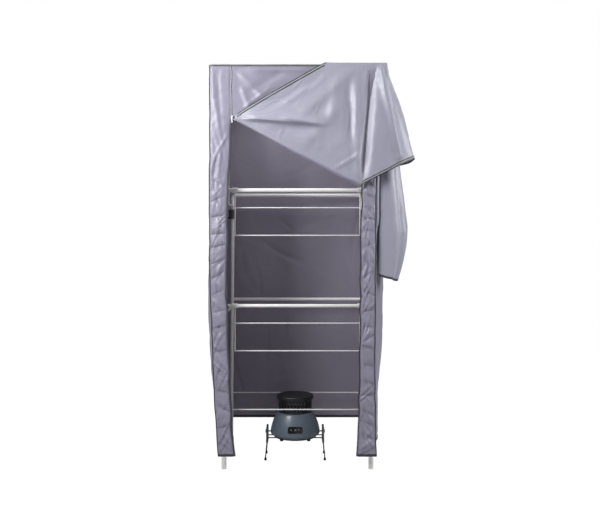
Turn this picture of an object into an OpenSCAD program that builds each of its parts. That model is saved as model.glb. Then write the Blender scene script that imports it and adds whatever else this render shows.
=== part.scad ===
// Fabric drying cabinet: a two-frame airer of bent steel tube with fold-up drying
// wings, a raised roof frame with a hanging rail, a zipped cloth cover whose front
// door is thrown back over the roof, and a fan heater that stands below on a wire stand.
// Millimetres. +Z is up, -Y is the front, and the floor is z = 0.

/* [Cover] */
// Width of the cover
cover_w = 710; // [690:5:730]
// Depth of the cover
cover_d = 470; // [460:5:490]
// Height of the roof above the floor
cover_h = 1650; // [1630:5:1670]
// Height of the front hem above the floor
front_hem_z = 64; // [50:2:80]
// Height of the side and rear hems above the floor
rear_hem_z = 120; // [100:5:150]
// Thickness of the cloth panels
cloth_t = 2.4; // [2:0.2:3]
// Width of each front flap, from the corner to the zip
flap_w = 90; // [84:2:94]
// How far the side and rear panels belly out
belly = 20; // [10:2:26]
// How far the corners draw in at the hem
draw_in = 30; // [10:5:34]
// Height below which the corners draw in
draw_z = 900; // [700:50:1000]
// Corner radius of the roof
roof_r = 14; // [8:1:20]
// Diameter of the piping round the roof
piping_d = 6; // [4:0.5:8]
// Depth of the folds pressed into hanging cloth
fold_depth = 4; // [2:0.5:5]

/* [Door] */
// Drop from the roof to the left end of the door's fold, beside the zip slider
fold_left_drop = 213; // [170:5:250]
// Drop from the roof to the right end of the door's fold
fold_right_drop = 490; // [470:5:510]
// Gap between the closed part of the door and the part folded over it
fold_gap = 24; // [20:1:30]
// How far the thrown-back door stands out beyond the right side
door_reach = 126; // [100:2:140]
// Drop from the roof to the lowest corner of the thrown-back door
tail_drop = 876; // [830:5:910]
// How far back the door lies over the roof's right edge
lap_back = 165; // [140:5:180]
// Distance from the right zip to where the door's edge crosses the roof's front
lap_front = 159; // [140:1:180]

/* [Zips] */
// Width of each zip tape
tape_w = 14; // [12:1:18]
// Thickness of a zip tape
tape_t = 1.2; // [0.8:0.2:1.6]
// Width of a zip slider
slider_w = 9; // [8:0.5:11]
// Thickness of a zip slider
slider_t = 4; // [3:0.5:5]
// Height of a zip slider
slider_h = 14; // [12:1:18]
// Length of a zip pull
pull_l = 26; // [20:1:32]
// Radius of the pin that a zip pull swings on
pull_pin_r = 0.8; // [0.6:0.1:1]

/* [Airer frame] */
// Distance from the cover's front or back to the nearest frame's middle
frame_inset = 60; // [50:1:65]
// Distance from the cover's side to the frame's top corner
top_corner_inset = 59; // [56:1:62]
// Distance from the cover's side to the frame's foot
foot_inset = 52; // [48:1:58]
// Height of the top bar's centre
frame_h = 1148; // [1130:2:1160]
// Diameter of the frame tube
frame_tube_d = 16; // [14:0.5:18]
// Bend radius of the frame tube
frame_bend_r = 18; // [14:1:20]
// Height of the middle bar
mid_bar_z = 672; // [650:2:690]
// Diameter of the middle bar
mid_bar_d = 14; // [12:0.5:15]
// Height of the lowest rung
low_rung_z = 244; // [230:2:250]
// Diameter of the rungs and drying wires
wire_d = 5; // [4:0.5:6]
// How far below the top bar, the middle bar and the rung the rails that join the frames lie
side_rail_drop = [52, 32, 34]; // [28:2:60]
// Diameter of the rails that join the two frames
side_rail_d = 10; // [8:0.5:12]
// Height of a foot cap
foot_h = 46; // [36:1:54]
// Wall of a foot cap round its tube
foot_wall = 2.2; // [1.6:0.2:3]

/* [Drying wings] */
// Distance from the frame's top corner to a wing's side wire
wing_inset = 38; // [36:1:50]
// Distance from the bar to a wing's outer wire
wing_drop = 186; // [160:2:200]
// Distance from the bar to a wing's inner wire
wing_step = 72; // [60:1:90]
// Length of a wing's pivot sleeve
sleeve_l = 22; // [16:1:30]
// Wall of a wing's pivot sleeve
sleeve_wall = 3; // [2.4:0.2:3.6]
// Radial running clearance of a pivot
run_gap = 0.08; // [0.02:0.01:0.1]

/* [Roof frame] */
// Distance from the cover's side to a roof post's middle
post_inset_x = 33; // [28:1:36]
// Distance from the cover's front or back to a roof post's middle
post_inset_y = 30; // [28:1:34]
// Diameter of the roof posts
post_d = 14; // [12:0.5:16]
// Diameter of the roof rails
roof_rail_d = 12; // [10:0.5:14]
// Distance from the top bar down to the underside of a clamp
clamp_drop = 108; // [98:2:128]
// Height of a clamp
clamp_h = 42; // [36:1:46]
// Wall of a clamp round its tubes
clamp_wall = 5; // [4:0.5:6]
// Diameter of a roof hub
hub_d = 30; // [28:1:34]
// Height of a roof hub
hub_h = 34; // [30:1:40]
// How far below the roof rails the hanging rail's centre lies
hang_drop = 40; // [36:1:50]
// Diameter of the hanging rail
hang_d = 16; // [14:0.5:20]

/* [Heater] */
// Where the heater stands, measured across from the cabinet's middle
heater_x = -10; // [-40:5:40]
// Height of the underside of the heater's shell
heater_z = 96; // [90:1:98]
// Greatest radius of the shell
shell_r = 107; // [102:1:110]
// Height of the shell's widest ring above its underside
shell_wide_h = 16; // [12:1:24]
// Height of the shell
shell_h = 103; // [98:1:112]
// Radius of the shell's shoulder, below its mouth
shoulder_r = 81; // [77:1:84]
// Radius of the shell's mouth
mouth_r = 70; // [66:1:72]
// Wall of the shell
shell_wall = 3; // [2.4:0.2:3.6]
// Radius of the outlet neck
neck_r = 72; // [71:1:75]
// Height of the outlet neck
neck_h = 57; // [48:1:64]
// Number of slots round the neck
neck_slots = 30; // [20:2:40]
// Radius of the cap
cap_r = 80; // [76:1:84]
// Height of the cap
cap_h = 15; // [12:1:22]
// Width of the control window
window_w = 62; // [54:1:68]
// Height of the control window
window_h = 28; // [24:1:32]
// Diameter of a key
key_d = 9; // [7:0.5:10]
// Distance between keys
key_pitch = 17; // [14:1:19]
// How far a key can be pressed
key_travel = 1; // [0.6:0.1:1.4]
// Radius of the fan
fan_r = 54; // [48:1:58]
// Number of fan blades
fan_blades = 7; // [5:1:9]

/* [Heater stand] */
// Half the width of the stand at its brackets
stand_x = 121; // [119:1:124]
// Height of the leg pivots
leg_pivot_z = 76; // [72:1:78]
// Diameter of the stand's wire
stand_wire_d = 5; // [4.5:0.5:5.5]
// Outward lean of each leg at its tip
leg_lean = 7; // [4:1:12]
// Distance between the front and rear leg tips
leg_span = 110; // [100:5:140]
// Length of a bracket, front to back
bracket_l = 76; // [70:2:90]
// Thickness of a bracket
bracket_t = 9; // [8.5:0.5:11]
// Height of a bracket's top
bracket_top = 136; // [132:1:142]
// Radius of a leg's hub
leg_hub_r = 3.4; // [3:0.1:3.6]

/* [Hidden] */

// Clearance between pieces that sit against each other
seat = 0.3;
// Smoothness of round pieces
$fn = 48;
// Number of grid steps along and up a hanging panel
panel_cols = 10;
panel_rows = 18;

// Colours of the cloth, tube and plastics
cloth_c = [0.60, 0.59, 0.66];
tube_c = [0.87, 0.87, 0.85];
white_c = [0.92, 0.92, 0.90];
slate_c = [0.30, 0.35, 0.40];
black_c = [0.06, 0.06, 0.07];
steel_c = [0.72, 0.72, 0.74];
grey_c = [0.35, 0.36, 0.38];

half_w = cover_w / 2;
half_d = cover_d / 2;
half_t = cloth_t / 2;
frame_y = half_d - frame_inset;
frame_top_x = half_w - top_corner_inset;
frame_foot_x = half_w - foot_inset;
wing_x = frame_top_x - wing_inset;
post_x = half_w - post_inset_x;
post_y = half_d - post_inset_y;
fold_left_z = cover_h - fold_left_drop;
fold_right_z = cover_h - fold_right_drop;
side_rail_z = [frame_h, mid_bar_z, low_rung_z] - side_rail_drop;
clamp_z = frame_h - clamp_drop;
frame_r = frame_tube_d / 2;
mid_r = mid_bar_d / 2;
wire_r = wire_d / 2;

// ---- shapes of the hanging cloth ----

// How far a corner of the cover is drawn in at height z
function drawn(z) = z >= draw_z ? 0 : draw_in * pow((draw_z - z) / draw_z, 2);
// Plan position of the cover's corner at height z, for the signs sx and sy
function corner_x(z, sx) = sx * (half_w - half_t - drawn(z));
function corner_y(z, sy) = sy * (half_d - half_t - drawn(z) / 2);
// Position of the zip beside each front flap
function zip_x(z, sx) = sx * (half_w - flap_w - drawn(z) / 2);
// Underside of the roof, where the hanging panels are sewn on
wall_top_z = cover_h - cloth_t - seat;
// The piping lies round the roof's edge, above the hanging panels
piping_z = wall_top_z + seat + piping_d / 2;
// A smooth hill from 0 to 1 and back over t = 0 to 1
function hill(t) = pow(sin(180 * t), 2);
function mix(a, b, t) = a + (b - a) * t;

// A sheet of cloth over a grid: f(u, v) is the middle surface and g(u, v) is the
// vector from there to the outer face
module sheet(f, g, cols, rows) {
  n = (cols + 1) * (rows + 1);
  grid = [for (j = [0:rows], i = [0:cols]) [i / cols, j / rows]];
  outer = [for (p = grid) f(p[0], p[1]) + g(p[0], p[1])];
  inner = [for (p = grid) f(p[0], p[1]) - g(p[0], p[1])];
  w = cols + 1;
  skin = [for (j = [0:rows - 1], i = [0:cols - 1], k = [0:1])
    let (a = j * w + i)
    k == 0 ? [a, a + w, a + 1] : [a + 1, a + w, a + w + 1]];
  rim = concat(
    [for (i = [0:cols]) i],
    [for (j = [1:rows]) j * w + cols],
    [for (i = [1:cols]) rows * w + cols - i],
    [for (j = [1:rows - 1]) (rows - j) * w]);
  m = len(rim);
  band = [for (k = [0:m - 1], h = [0:1])
    let (a = rim[k], b = rim[(k + 1) % m])
    h == 0 ? [a, b, a + n] : [b, b + n, a + n]];
  polyhedron(
    concat(outer, inner),
    concat(skin, [for (t = skin) [t[0] + n, t[2] + n, t[1] + n]], band));
}

// Side panel on the side sx: u runs from front to back, v from hem to roof
function side_out(u, v) =
  hill(u) * (belly * pow(sin(180 * pow(1 - v, 0.8)), 2)
    + fold_depth * sin(360 * (1.5 * u + 0.8 * v)) * hill(v));
function side_pt(u, v, sx) =
  let (z = mix(rear_hem_z, wall_top_z, v),
       gap = half_t + seat,
       y = mix(corner_y(z, -1) + gap, corner_y(z, 1) - gap, u))
  [corner_x(z, sx) + sx * side_out(u, v), y, z];
// Rear panel
function back_pt(u, v) =
  let (z = mix(rear_hem_z, wall_top_z, v),
       x = mix(corner_x(z, -1) - half_t, corner_x(z, 1) + half_t, u),
       out = hill(u) * (belly / 2 * pow(sin(180 * (1 - v)), 2)
         + fold_depth * sin(360 * (2.5 * u - 1.2 * v)) * hill(v)))
  [x, corner_y(z, 1) + out, z];
// Front flap beside the zip on the side sx: u runs from the corner to the tape
function flap_pt(u, v, sx) =
  let (z = mix(front_hem_z, wall_top_z, v),
       x = mix(corner_x(z, sx) + sx * half_t, zip_x(z, sx) + sx * (tape_w + seat), u),
       out = hill(u) * fold_depth * sin(360 * 3.5 * v) * hill(v))
  [x, corner_y(z, -1) + out, z];
// Zip tape beside a flap
function tape_pt(u, v, sx) =
  let (z = mix(front_hem_z, wall_top_z, v))
  [zip_x(z, sx) + sx * tape_w * (1 - u), corner_y(z, -1), z];

// ---- shape of the door ----

front_y = -half_d + half_t;
zip_top_x = half_w - flap_w;
// The closed part of the door runs from the roof down to the fold
door_side = zip_top_x - seat;
function door_shut_pt(u, v) =
  let (x = mix(-door_side, door_side, u),
       low = mix(fold_left_z, fold_right_z, u),
       z = mix(low, wall_top_z, v))
  [x, front_y + fold_depth / 2 * hill(u) * sin(360 * (1.5 * u + v)) * hill(v), z];

// The part of the door folded over the front hangs from a path that runs up its
// zip edge, along the roof's front edge and round the right corner, clear of the piping
wrap = piping_d + 2 * seat + half_t;
wrap_y = -half_d - wrap;
right_x = half_w + wrap;
lap_low_z = piping_z + piping_d / 2 + seat;
lap_z = lap_low_z + half_t;
roof_left_x = zip_top_x - lap_front;
lap_back_y = front_y + lap_back;
tip_x = zip_top_x - 8;
far_x = half_w + door_reach;
door_path = [
  // share of the way; x, y and drop from lap_z of the top; the same of the bottom; bearing
  [0.00, [-door_side + 12, wrap_y + 2, fold_left_drop - 2],
    [-door_side + 12, wrap_y + 2, fold_left_drop + 8], 0],
  [0.14, [-door_side + 115, wrap_y, 146], [-door_side + 115, wrap_y, 279], 0],
  [0.30, [-20, wrap_y, 71], [-10, wrap_y - 5, 353], 0],
  [0.44, [roof_left_x, wrap_y, 0], [roof_left_x - 6, wrap_y - 9, 409], 0],
  [0.56, [tip_x - 47, wrap_y, 0], [tip_x - 67, front_y - fold_gap, 457], 0],
  [0.66, [right_x - 71, wrap_y, 0], [tip_x, front_y - fold_gap, fold_right_drop - 2], 0],
  [0.73, [right_x - 27, wrap_y, 0], [right_x - 31, front_y - fold_gap - 8, 449], 15],
  [0.77, [right_x - 3, wrap_y, 0], [right_x + 9, front_y - fold_gap - 2, 429], 35],
  [0.82, [right_x, wrap_y + 3, 0], [right_x + 49, front_y - 12, 405], 50],
  [0.89, [right_x, front_y + 60, 0], [far_x, front_y + 50, 369], 78],
  [0.95, [right_x, front_y + 115, 0], [far_x - 16, front_y + 125, 361], 95],
  [1.00, [right_x, lap_back_y, 0], [right_x + 50, lap_back_y + 25, 351], 115]
];
function along(u, k, c) = lookup(u, [for (s = door_path) [s[0], s[k][c]]]);
function bearing(u) = lookup(u, [for (s = door_path) [s[0], s[3]]]);
function facing(u) = [sin(bearing(u)), -cos(bearing(u)), 0];
function door_low(u) = [along(u, 2, 0), along(u, 2, 1), lap_z - along(u, 2, 2)];
function door_high(u) = [along(u, 1, 0), along(u, 1, 1), lap_z - along(u, 1, 2)];
function door_over_pt(u, v) =
  let (ripple = fold_depth * sin(360 * 2.4 * u) * min(1, 6 * u),
       puff = 10 * min(1, 3 * u))
  mix(door_low(u), door_high(u), v) + facing(u) * (ripple + puff) * hill(v);

// The rolled edge that joins the closed part to the part folded over it
tip_share = 0.66;
function door_fold_pt(u, v) =
  let (t = mix(0.03, 0.97, u))
  mix(door_shut_pt(t, 0), door_low(tip_share * t), v);
fold_lean = atan((fold_left_z - fold_right_z) / (2 * door_side));

// The door's lower end hangs down beside the right panel, below the roof's edge
tail_path = [
  // share of the way, distances out from the side and back from the front, drop of the hem
  [0.00, 4, 14, tail_drop - 26],
  [0.20, 36, 6, tail_drop - 12],
  [0.45, 80, 40, tail_drop],
  [0.65, 90, 96, tail_drop - 32],
  [0.85, 50, 150, tail_drop - 68],
  [1.00, 4, 176, tail_drop - 96]
];
tail_top_z = cover_h - 12;
tail_gap = 9;
function tail_at(u, k) = lookup(u, [for (s = tail_path) [s[0], s[k]]]);
function tail_pt(u, v) =
  let (z = mix(cover_h - tail_at(u, 3), tail_top_z, v),
       y = mix(20 + 120 * u, tail_at(u, 2), min(1, 2 * (1 - v))),
       // the sheet spreads as it falls, and draws in again at its hem
       spread = min(1, 0.05 + 1.25 * (1 - v)) * (1 - 0.45 * pow(max(0, 0.25 - v) / 0.25, 2)),
       ripple = fold_depth * sin(360 * 2 * u) * hill(v) * hill(u),
       panel = side_out(y / cover_d, (z - rear_hem_z) / (wall_top_z - rear_hem_z)))
  [half_w + panel + tail_gap + tail_at(u, 1) * spread + ripple, front_y + y, z];
// Directions that the tail's front and rear edges face, in degrees from the front
tail_turn = [-20, 150];
function tail_out(u) = let (a = mix(tail_turn[0], tail_turn[1], u)) [sin(a), -cos(a), 0];

// ---- place of the origin: the middle of the footprint ----

function grid_pts(f, cols, rows) =
  [for (j = [0:rows], i = [0:cols]) f(i / cols, j / rows)];
left_reach = half_t
  + max([for (p = grid_pts(function (u, v) side_pt(u, v, -1), panel_cols, panel_rows)) -p[0]]);
door_cols = 26;
door_rows = 10;
door_pts = [for (j = [0:door_rows], i = [0:door_cols])
  let (u = i / door_cols) door_over_pt(u, j / door_rows) + facing(u) * half_t];
right_reach = max([for (p = door_pts) p[0]]);
front_reach = max([for (p = door_pts) -p[1]]);
back_reach = half_t
  + max([for (p = grid_pts(function (u, v) back_pt(u, v), panel_cols, panel_rows)) p[1]]);
middle = [(right_reach - left_reach) / 2, (back_reach - front_reach) / 2, 0];

module at_origin() {
  translate(-middle) children();
}
module at_heater() at_origin() translate([heater_x, 0, 0]) children();

// ---- airer frame ----

lean_deg = atan((frame_foot_x - frame_top_x) / frame_h);
// Half the width of a frame's posts at height z
function post_at(z) = frame_top_x + (frame_foot_x - frame_top_x) * (1 - z / frame_h);

// Swaged ring where a bend is joined to a straight tube
module swage() {
  translate([0, 0, -swage_l / 2]) cylinder(r = frame_r + swage_t, h = swage_l);
}
swage_l = 6;
swage_t = 0.8;

// An inverted U: two leaning posts, two bends and the top bar
module u_frame() {
  turn = 90 - lean_deg;
  bar_half = frame_top_x - frame_bend_r * tan(turn / 2);
  // where the bend meets the post
  bend_z = frame_h - frame_bend_r + frame_bend_r * cos(turn);
  bend_x = bar_half + frame_bend_r * sin(turn);
  post_len = (bend_z - post_foot_z) / cos(lean_deg);
  for (half = [0, 180]) rotate([0, 0, half]) {
    translate([bar_half, 0, frame_h - frame_bend_r]) rotate([90, 0, 0])
      rotate([0, 0, 90 - turn]) rotate_extrude(angle = turn)
        translate([frame_bend_r, 0]) circle(r = frame_r);
    translate([bend_x, 0, bend_z]) rotate([0, 180 - lean_deg, 0]) {
      cylinder(r = frame_r, h = post_len);
      swage();
    }
    translate([bar_half, 0, frame_h]) rotate([0, 90, 0]) swage();
  }
  translate([-bar_half, 0, frame_h]) rotate([0, 90, 0]) cylinder(r = frame_r, h = 2 * bar_half);
}
post_foot_z = 4;

module scale_x(s) {
  if (s < 0) mirror([1, 0, 0]) children();
  else children();
}

module front_frame() at_origin() color(tube_c) translate([0, -frame_y, 0]) u_frame();
module rear_frame() at_origin() color(tube_c) translate([0, frame_y, 0]) u_frame();

// A bar across a frame, cut square just short of the posts
module cross_bar(r, z, y) {
  reach = post_at(z) - frame_r / cos(lean_deg) - r * tan(lean_deg) - seat / 2;
  translate([-reach, y, z]) rotate([0, 90, 0]) cylinder(r = r, h = 2 * reach);
}
module front_mid_bar() at_origin() color(tube_c) cross_bar(mid_r, mid_bar_z, -frame_y);
module rear_mid_bar() at_origin() color(tube_c) cross_bar(mid_r, mid_bar_z, frame_y);
module front_low_rung() at_origin() color(steel_c) cross_bar(wire_r, low_rung_z, -frame_y);
module rear_low_rung() at_origin() color(steel_c) cross_bar(wire_r, low_rung_z, frame_y);

// Rails from the front frame to the rear frame on the side sx
module side_rails(sx) {
  reach = frame_y - frame_r - seat / 2;
  for (z = side_rail_z)
    translate([sx * post_at(z), -reach, z]) rotate([-90, 0, 0])
      cylinder(d = side_rail_d, h = 2 * reach);
}
module side_rails_left() at_origin() color(tube_c) side_rails(-1);
module side_rails_right() at_origin() color(tube_c) side_rails(1);

// Cap on the foot of one post, with a blind bore for the tube
module foot_cap() {
  bore_r = frame_r + run_gap;
  difference() {
    intersection() {
      rotate([0, -lean_deg, 0]) translate([0, 0, -10]) cylinder(r = bore_r + foot_wall, h = foot_h + 10);
      translate([-40, -40, 0]) cube([80, 80, foot_h * 2]);
    }
    rotate([0, -lean_deg, 0]) translate([0, 0, post_foot_z - frame_r * tan(lean_deg) - seat])
      cylinder(r = bore_r, h = foot_h + 10);
  }
}
module foot_caps() at_origin() color(white_c)
  for (sx = [-1, 1], sy = [-1, 1])
    scale_x(sx) translate([frame_foot_x, sy * frame_y, 0]) foot_cap();

// ---- drying wings ----

// A wing hangs from a bar of radius bar_r at z = 0 by two pivot sleeves
module wing(bar_r) {
  bore_r = bar_r + run_gap;
  out_r = bore_r + sleeve_wall;
  difference() {
    union() {
      for (s = [-1, 1]) {
        translate([s * wing_x - sleeve_l / 2, 0, 0]) rotate([0, 90, 0])
          cylinder(r = out_r, h = sleeve_l);
        translate([s * wing_x, 0, -wing_drop]) cylinder(r = wire_r, h = wing_drop);
        translate([s * wing_x, 0, -wing_drop]) sphere(r = wire_r);
      }
      for (drop = [wing_step, wing_drop])
        translate([-wing_x, 0, -drop]) rotate([0, 90, 0]) cylinder(r = wire_r, h = 2 * wing_x);
    }
    translate([-wing_x - sleeve_l, 0, 0]) rotate([0, 90, 0])
      cylinder(r = bore_r, h = 2 * (wing_x + sleeve_l));
  }
}
module wing_upper() at_origin() color(steel_c) translate([0, -frame_y, frame_h]) wing(frame_r);
module wing_middle() at_origin() color(steel_c) translate([0, -frame_y, mid_bar_z]) wing(mid_r);

// ---- roof frame ----

post_r = post_d / 2;
rail_r = roof_rail_d / 2;
hub_r = hub_d / 2;
// The cloth roof rests on the hubs and the rails
hub_top_z = cover_h - cloth_t - seat;
rail_z = hub_top_z - rail_r;
post_bottom_z = clamp_z - 6;

// Clamp that joins a roof post to a frame post
module frame_clamp() {
  grip_r = frame_r + run_gap;
  from = [post_at(clamp_z + clamp_h / 2), frame_y];
  to = [post_x, post_y];
  run = to - from;
  web_w = post_r + clamp_wall;
  difference() {
    union() {
      translate([from[0], from[1], clamp_z]) cylinder(r = grip_r + clamp_wall, h = clamp_h);
      translate([to[0], to[1], clamp_z]) cylinder(r = post_r + clamp_wall, h = clamp_h);
      translate([from[0], from[1], clamp_z]) rotate([0, 0, atan2(run[1], run[0])])
        translate([grip_r + clamp_wall / 2, -web_w / 2, 0])
          cube([norm(run) - grip_r - post_r - clamp_wall, web_w, clamp_h]);
    }
    translate([frame_foot_x, frame_y, 0]) rotate([0, -lean_deg, 0]) cylinder(r = grip_r, h = frame_h);
    translate([post_x, post_y, clamp_z - 1]) cylinder(r = post_r + run_gap, h = clamp_h + 2);
  }
}
module frame_clamps() at_origin() color(grey_c)
  for (sx = [-1, 1], sy = [0, 1])
    scale_x(sx) mirror([0, sy, 0]) frame_clamp();

module roof_post(sx, sy) {
  translate([sx * post_x, sy * post_y, post_bottom_z])
    cylinder(r = post_r, h = hub_top_z - hub_h / 2 - post_bottom_z);
}
module roof_post_front_left() at_origin() color(tube_c) roof_post(-1, -1);
module roof_post_front_right() at_origin() color(tube_c) roof_post(1, -1);
module roof_post_rear_left() at_origin() color(tube_c) roof_post(-1, 1);
module roof_post_rear_right() at_origin() color(tube_c) roof_post(1, 1);

// Corner hub with sockets for the post and the two roof rails, which stop short of each other
hub_socket = hub_r - rail_r - seat;
module roof_hub() {
  difference() {
    translate([post_x, post_y, hub_top_z - hub_h]) cylinder(r = hub_r, h = hub_h);
    translate([post_x, post_y, hub_top_z - hub_h - 1])
      cylinder(r = post_r + run_gap, h = hub_h / 2 + 1 + seat);
    translate([post_x - hub_r - 1, post_y, rail_z]) rotate([0, 90, 0])
      cylinder(r = rail_r + run_gap, h = hub_socket + 1);
    translate([post_x, post_y - hub_r - 1, rail_z]) rotate([-90, 0, 0])
      cylinder(r = rail_r + run_gap, h = hub_socket + 1);
  }
}
module roof_hubs() at_origin() color(grey_c)
  for (sx = [-1, 1], sy = [0, 1])
    scale_x(sx) mirror([0, sy, 0]) roof_hub();

rail_end = hub_r - hub_socket + seat;
module roof_rail_x(sy) {
  reach = post_x - rail_end;
  translate([-reach, sy * post_y, rail_z]) rotate([0, 90, 0]) cylinder(r = rail_r, h = 2 * reach);
}
module roof_rail_front() at_origin() color(tube_c) roof_rail_x(-1);
module roof_rail_rear() at_origin() color(tube_c) roof_rail_x(1);
module roof_rails_side() at_origin() color(tube_c) {
  reach = post_y - rail_end;
  for (sx = [-1, 1])
    translate([sx * post_x, -reach, rail_z]) rotate([-90, 0, 0]) cylinder(r = rail_r, h = 2 * reach);
}

// Rail for clothes hangers, slung under the side rails by a strap at each end
module hanging_rail() at_origin() color(tube_c) {
  hang_z = rail_z - hang_drop;
  strap_w = 24;
  strap_t = 3;
  loop_r = rail_r + run_gap;
  difference() {
    union() {
      translate([-post_x, 0, hang_z]) rotate([0, 90, 0]) cylinder(d = hang_d, h = 2 * post_x);
      for (s = [-1, 1]) {
        translate([s * post_x - strap_t, -strap_w / 2, hang_z]) cube([2 * strap_t, strap_w, hang_drop]);
        translate([s * post_x, strap_w / 2, rail_z]) rotate([90, 0, 0])
          cylinder(r = loop_r + strap_t, h = strap_w);
      }
    }
    for (s = [-1, 1])
      translate([s * post_x, strap_w, rail_z]) rotate([90, 0, 0]) cylinder(r = loop_r, h = 2 * strap_w);
    translate([-cover_w, -cover_d, hub_top_z]) cube([2 * cover_w, 2 * cover_d, 40]);
  }
}

// ---- cover ----

module rounded(w, d, r) {
  translate([-w / 2 + r, -d / 2]) square([w - 2 * r, d]);
  translate([-w / 2, -d / 2 + r]) square([w, d - 2 * r]);
  for (sx = [-1, 1], sy = [-1, 1])
    translate([sx * (w / 2 - r), sy * (d / 2 - r)]) circle(r = r);
}

module cover_roof() at_origin() color(cloth_c)
  translate([0, 0, cover_h - cloth_t]) linear_extrude(cloth_t) rounded(cover_w, cover_d, roof_r);

// Piping sewn into the roof's edge
module roof_piping() at_origin() color(grey_c) {
  pr = piping_d / 2;
  off = pr + seat;
  z = piping_z;
  x = half_w - roof_r;
  y = half_d - roof_r;
  for (s = [-1, 1]) {
    translate([-x, s * (half_d + off), z]) rotate([0, 90, 0]) cylinder(r = pr, h = 2 * x);
    translate([s * (half_w + off), -y, z]) rotate([-90, 0, 0]) cylinder(r = pr, h = 2 * y);
  }
  for (k = [0:3])
    translate([(k == 0 || k == 3 ? 1 : -1) * x, (k < 2 ? 1 : -1) * y, z])
      rotate([0, 0, 90 * k]) rotate_extrude(angle = 90) translate([roof_r + off, 0]) circle(r = pr);
}

module cover_left() at_origin() color(cloth_c)
  sheet(function (u, v) side_pt(1 - u, v, -1), function (u, v) [-half_t, 0, 0], panel_cols, panel_rows);
module cover_right() at_origin() color(cloth_c)
  sheet(function (u, v) side_pt(u, v, 1), function (u, v) [half_t, 0, 0], panel_cols, panel_rows);
module cover_back() at_origin() color(cloth_c)
  sheet(function (u, v) back_pt(1 - u, v), function (u, v) [0, half_t, 0], panel_cols, panel_rows);
flap_cols = 4;
flap_rows = 30;
module front_flap_left() at_origin() color(cloth_c)
  sheet(function (u, v) flap_pt(u, v, -1), function (u, v) [0, -half_t, 0], flap_cols, flap_rows);
module front_flap_right() at_origin() color(cloth_c)
  sheet(function (u, v) flap_pt(1 - u, v, 1), function (u, v) [0, -half_t, 0], flap_cols, flap_rows);

module zip_tape_left() at_origin() color(grey_c)
  sheet(function (u, v) tape_pt(u, v, -1), function (u, v) [0, -tape_t / 2, 0], 1, flap_rows);
module zip_tape_right() at_origin() color(grey_c)
  sheet(function (u, v) tape_pt(1 - u, v, 1), function (u, v) [0, -tape_t / 2, 0], 1, flap_rows);

module door_panel() at_origin() color(cloth_c) {
  sheet(function (u, v) door_shut_pt(u, v), function (u, v) [0, -half_t, 0], 8, 6);
  sheet(function (u, v) door_over_pt(u, v), function (u, v) facing(u) * half_t, door_cols, door_rows);
  sheet(function (u, v) tail_pt(u, v), function (u, v) tail_out(u) * half_t, 12, 10);
  sheet(function (u, v) door_fold_pt(u, v),
    function (u, v) [-sin(fold_lean), 0, -cos(fold_lean)] * half_t, 8, 1);
  // the part of the door that lies on the roof
  translate([0, 0, lap_low_z]) linear_extrude(cloth_t)
    polygon([[roof_left_x, wrap_y], [right_x, wrap_y], [right_x, lap_back_y]]);
}

// ---- zip sliders and pulls ----

ear_t = 1.6;
ear_h = 4;
pin_out = 1.9;
// Height of each slider's middle
slider_left_z = fold_left_z + 2;
slider_right_z = fold_right_z + 14;
slider_y = -half_d - seat;
pull_w = slider_w - 2 * ear_t - 0.8;
// The pin's axis lies above the slider's middle and in front of its face
pin_up = 4;
pin_y = slider_y - slider_t - pin_out;

module slider_at(sx, z) {
  translate([sx * zip_top_x, 0, z]) children();
}
module zip_slider(sx, z) slider_at(sx, z) difference() {
  union() {
    translate([-slider_w / 2, slider_y - slider_t, -slider_h / 2]) cube([slider_w, slider_t, slider_h]);
    for (s = [-1, 1])
      translate([s * (slider_w - ear_t) / 2 - ear_t / 2, pin_y - 1.7, pin_up - ear_h / 2])
        cube([ear_t, 1.7 + pin_out + 0.5, ear_h]);
  }
  translate([-slider_w, pin_y, pin_up]) rotate([0, 90, 0])
    cylinder(r = pull_pin_r + run_gap, h = 2 * slider_w);
}
module zip_pull(sx, z) slider_at(sx, z) difference() {
  union() {
    translate([-slider_w / 2, pin_y, pin_up]) rotate([0, 90, 0])
      cylinder(r = pull_pin_r, h = slider_w);
    translate([-pull_w / 2, pin_y, pin_up]) rotate([0, 90, 0]) cylinder(r = 1.3, h = pull_w);
    translate([-pull_w / 2, pin_y - 0.8, pin_up - pull_l]) cube([pull_w, 1.6, pull_l]);
  }
  translate([0, pin_y + 2, pin_up - pull_l + 4]) rotate([90, 0, 0]) cylinder(r = 1.2, h = 4);
}
module zip_slider_left() at_origin() color(steel_c) zip_slider(-1, slider_left_z);
module zip_slider_right() at_origin() color(steel_c) zip_slider(1, slider_right_z);
module zip_pull_left() at_origin() color(steel_c) zip_pull(-1, slider_left_z);
module zip_pull_right() at_origin() color(steel_c) zip_pull(1, slider_right_z);

// ---- heater ----

foot_step = 15;
shoulder_h = shell_h - 5;
// Outer radius of the shell at height h above its underside, up to the shoulder
function shell_at(h) =
  h < shell_wide_h ? shell_r - foot_step * pow((shell_wide_h - h) / shell_wide_h, 2.2)
  : shell_r - (shell_r - shoulder_r) * pow((h - shell_wide_h) / (shoulder_h - shell_wide_h), 1.55);
// Wall line from the underside to the height top
function wall_line(top) = [for (k = [0:20]) let (h = top * k / 20) [shell_at(h), h]];
shell_line = concat(wall_line(shoulder_h),
  [for (a = [15:15:90]) [mouth_r + (shoulder_r - mouth_r) * cos(a), mix(shoulder_h, shell_h, sin(a))]]);
module shell_solid(grow) {
  translate([0, 0, heater_z]) rotate_extrude($fn = 96)
    polygon(concat([[0, 0]], [for (p = shell_line) [p[0] + grow, p[1]]], [[0, shell_h]]));
}

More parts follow.
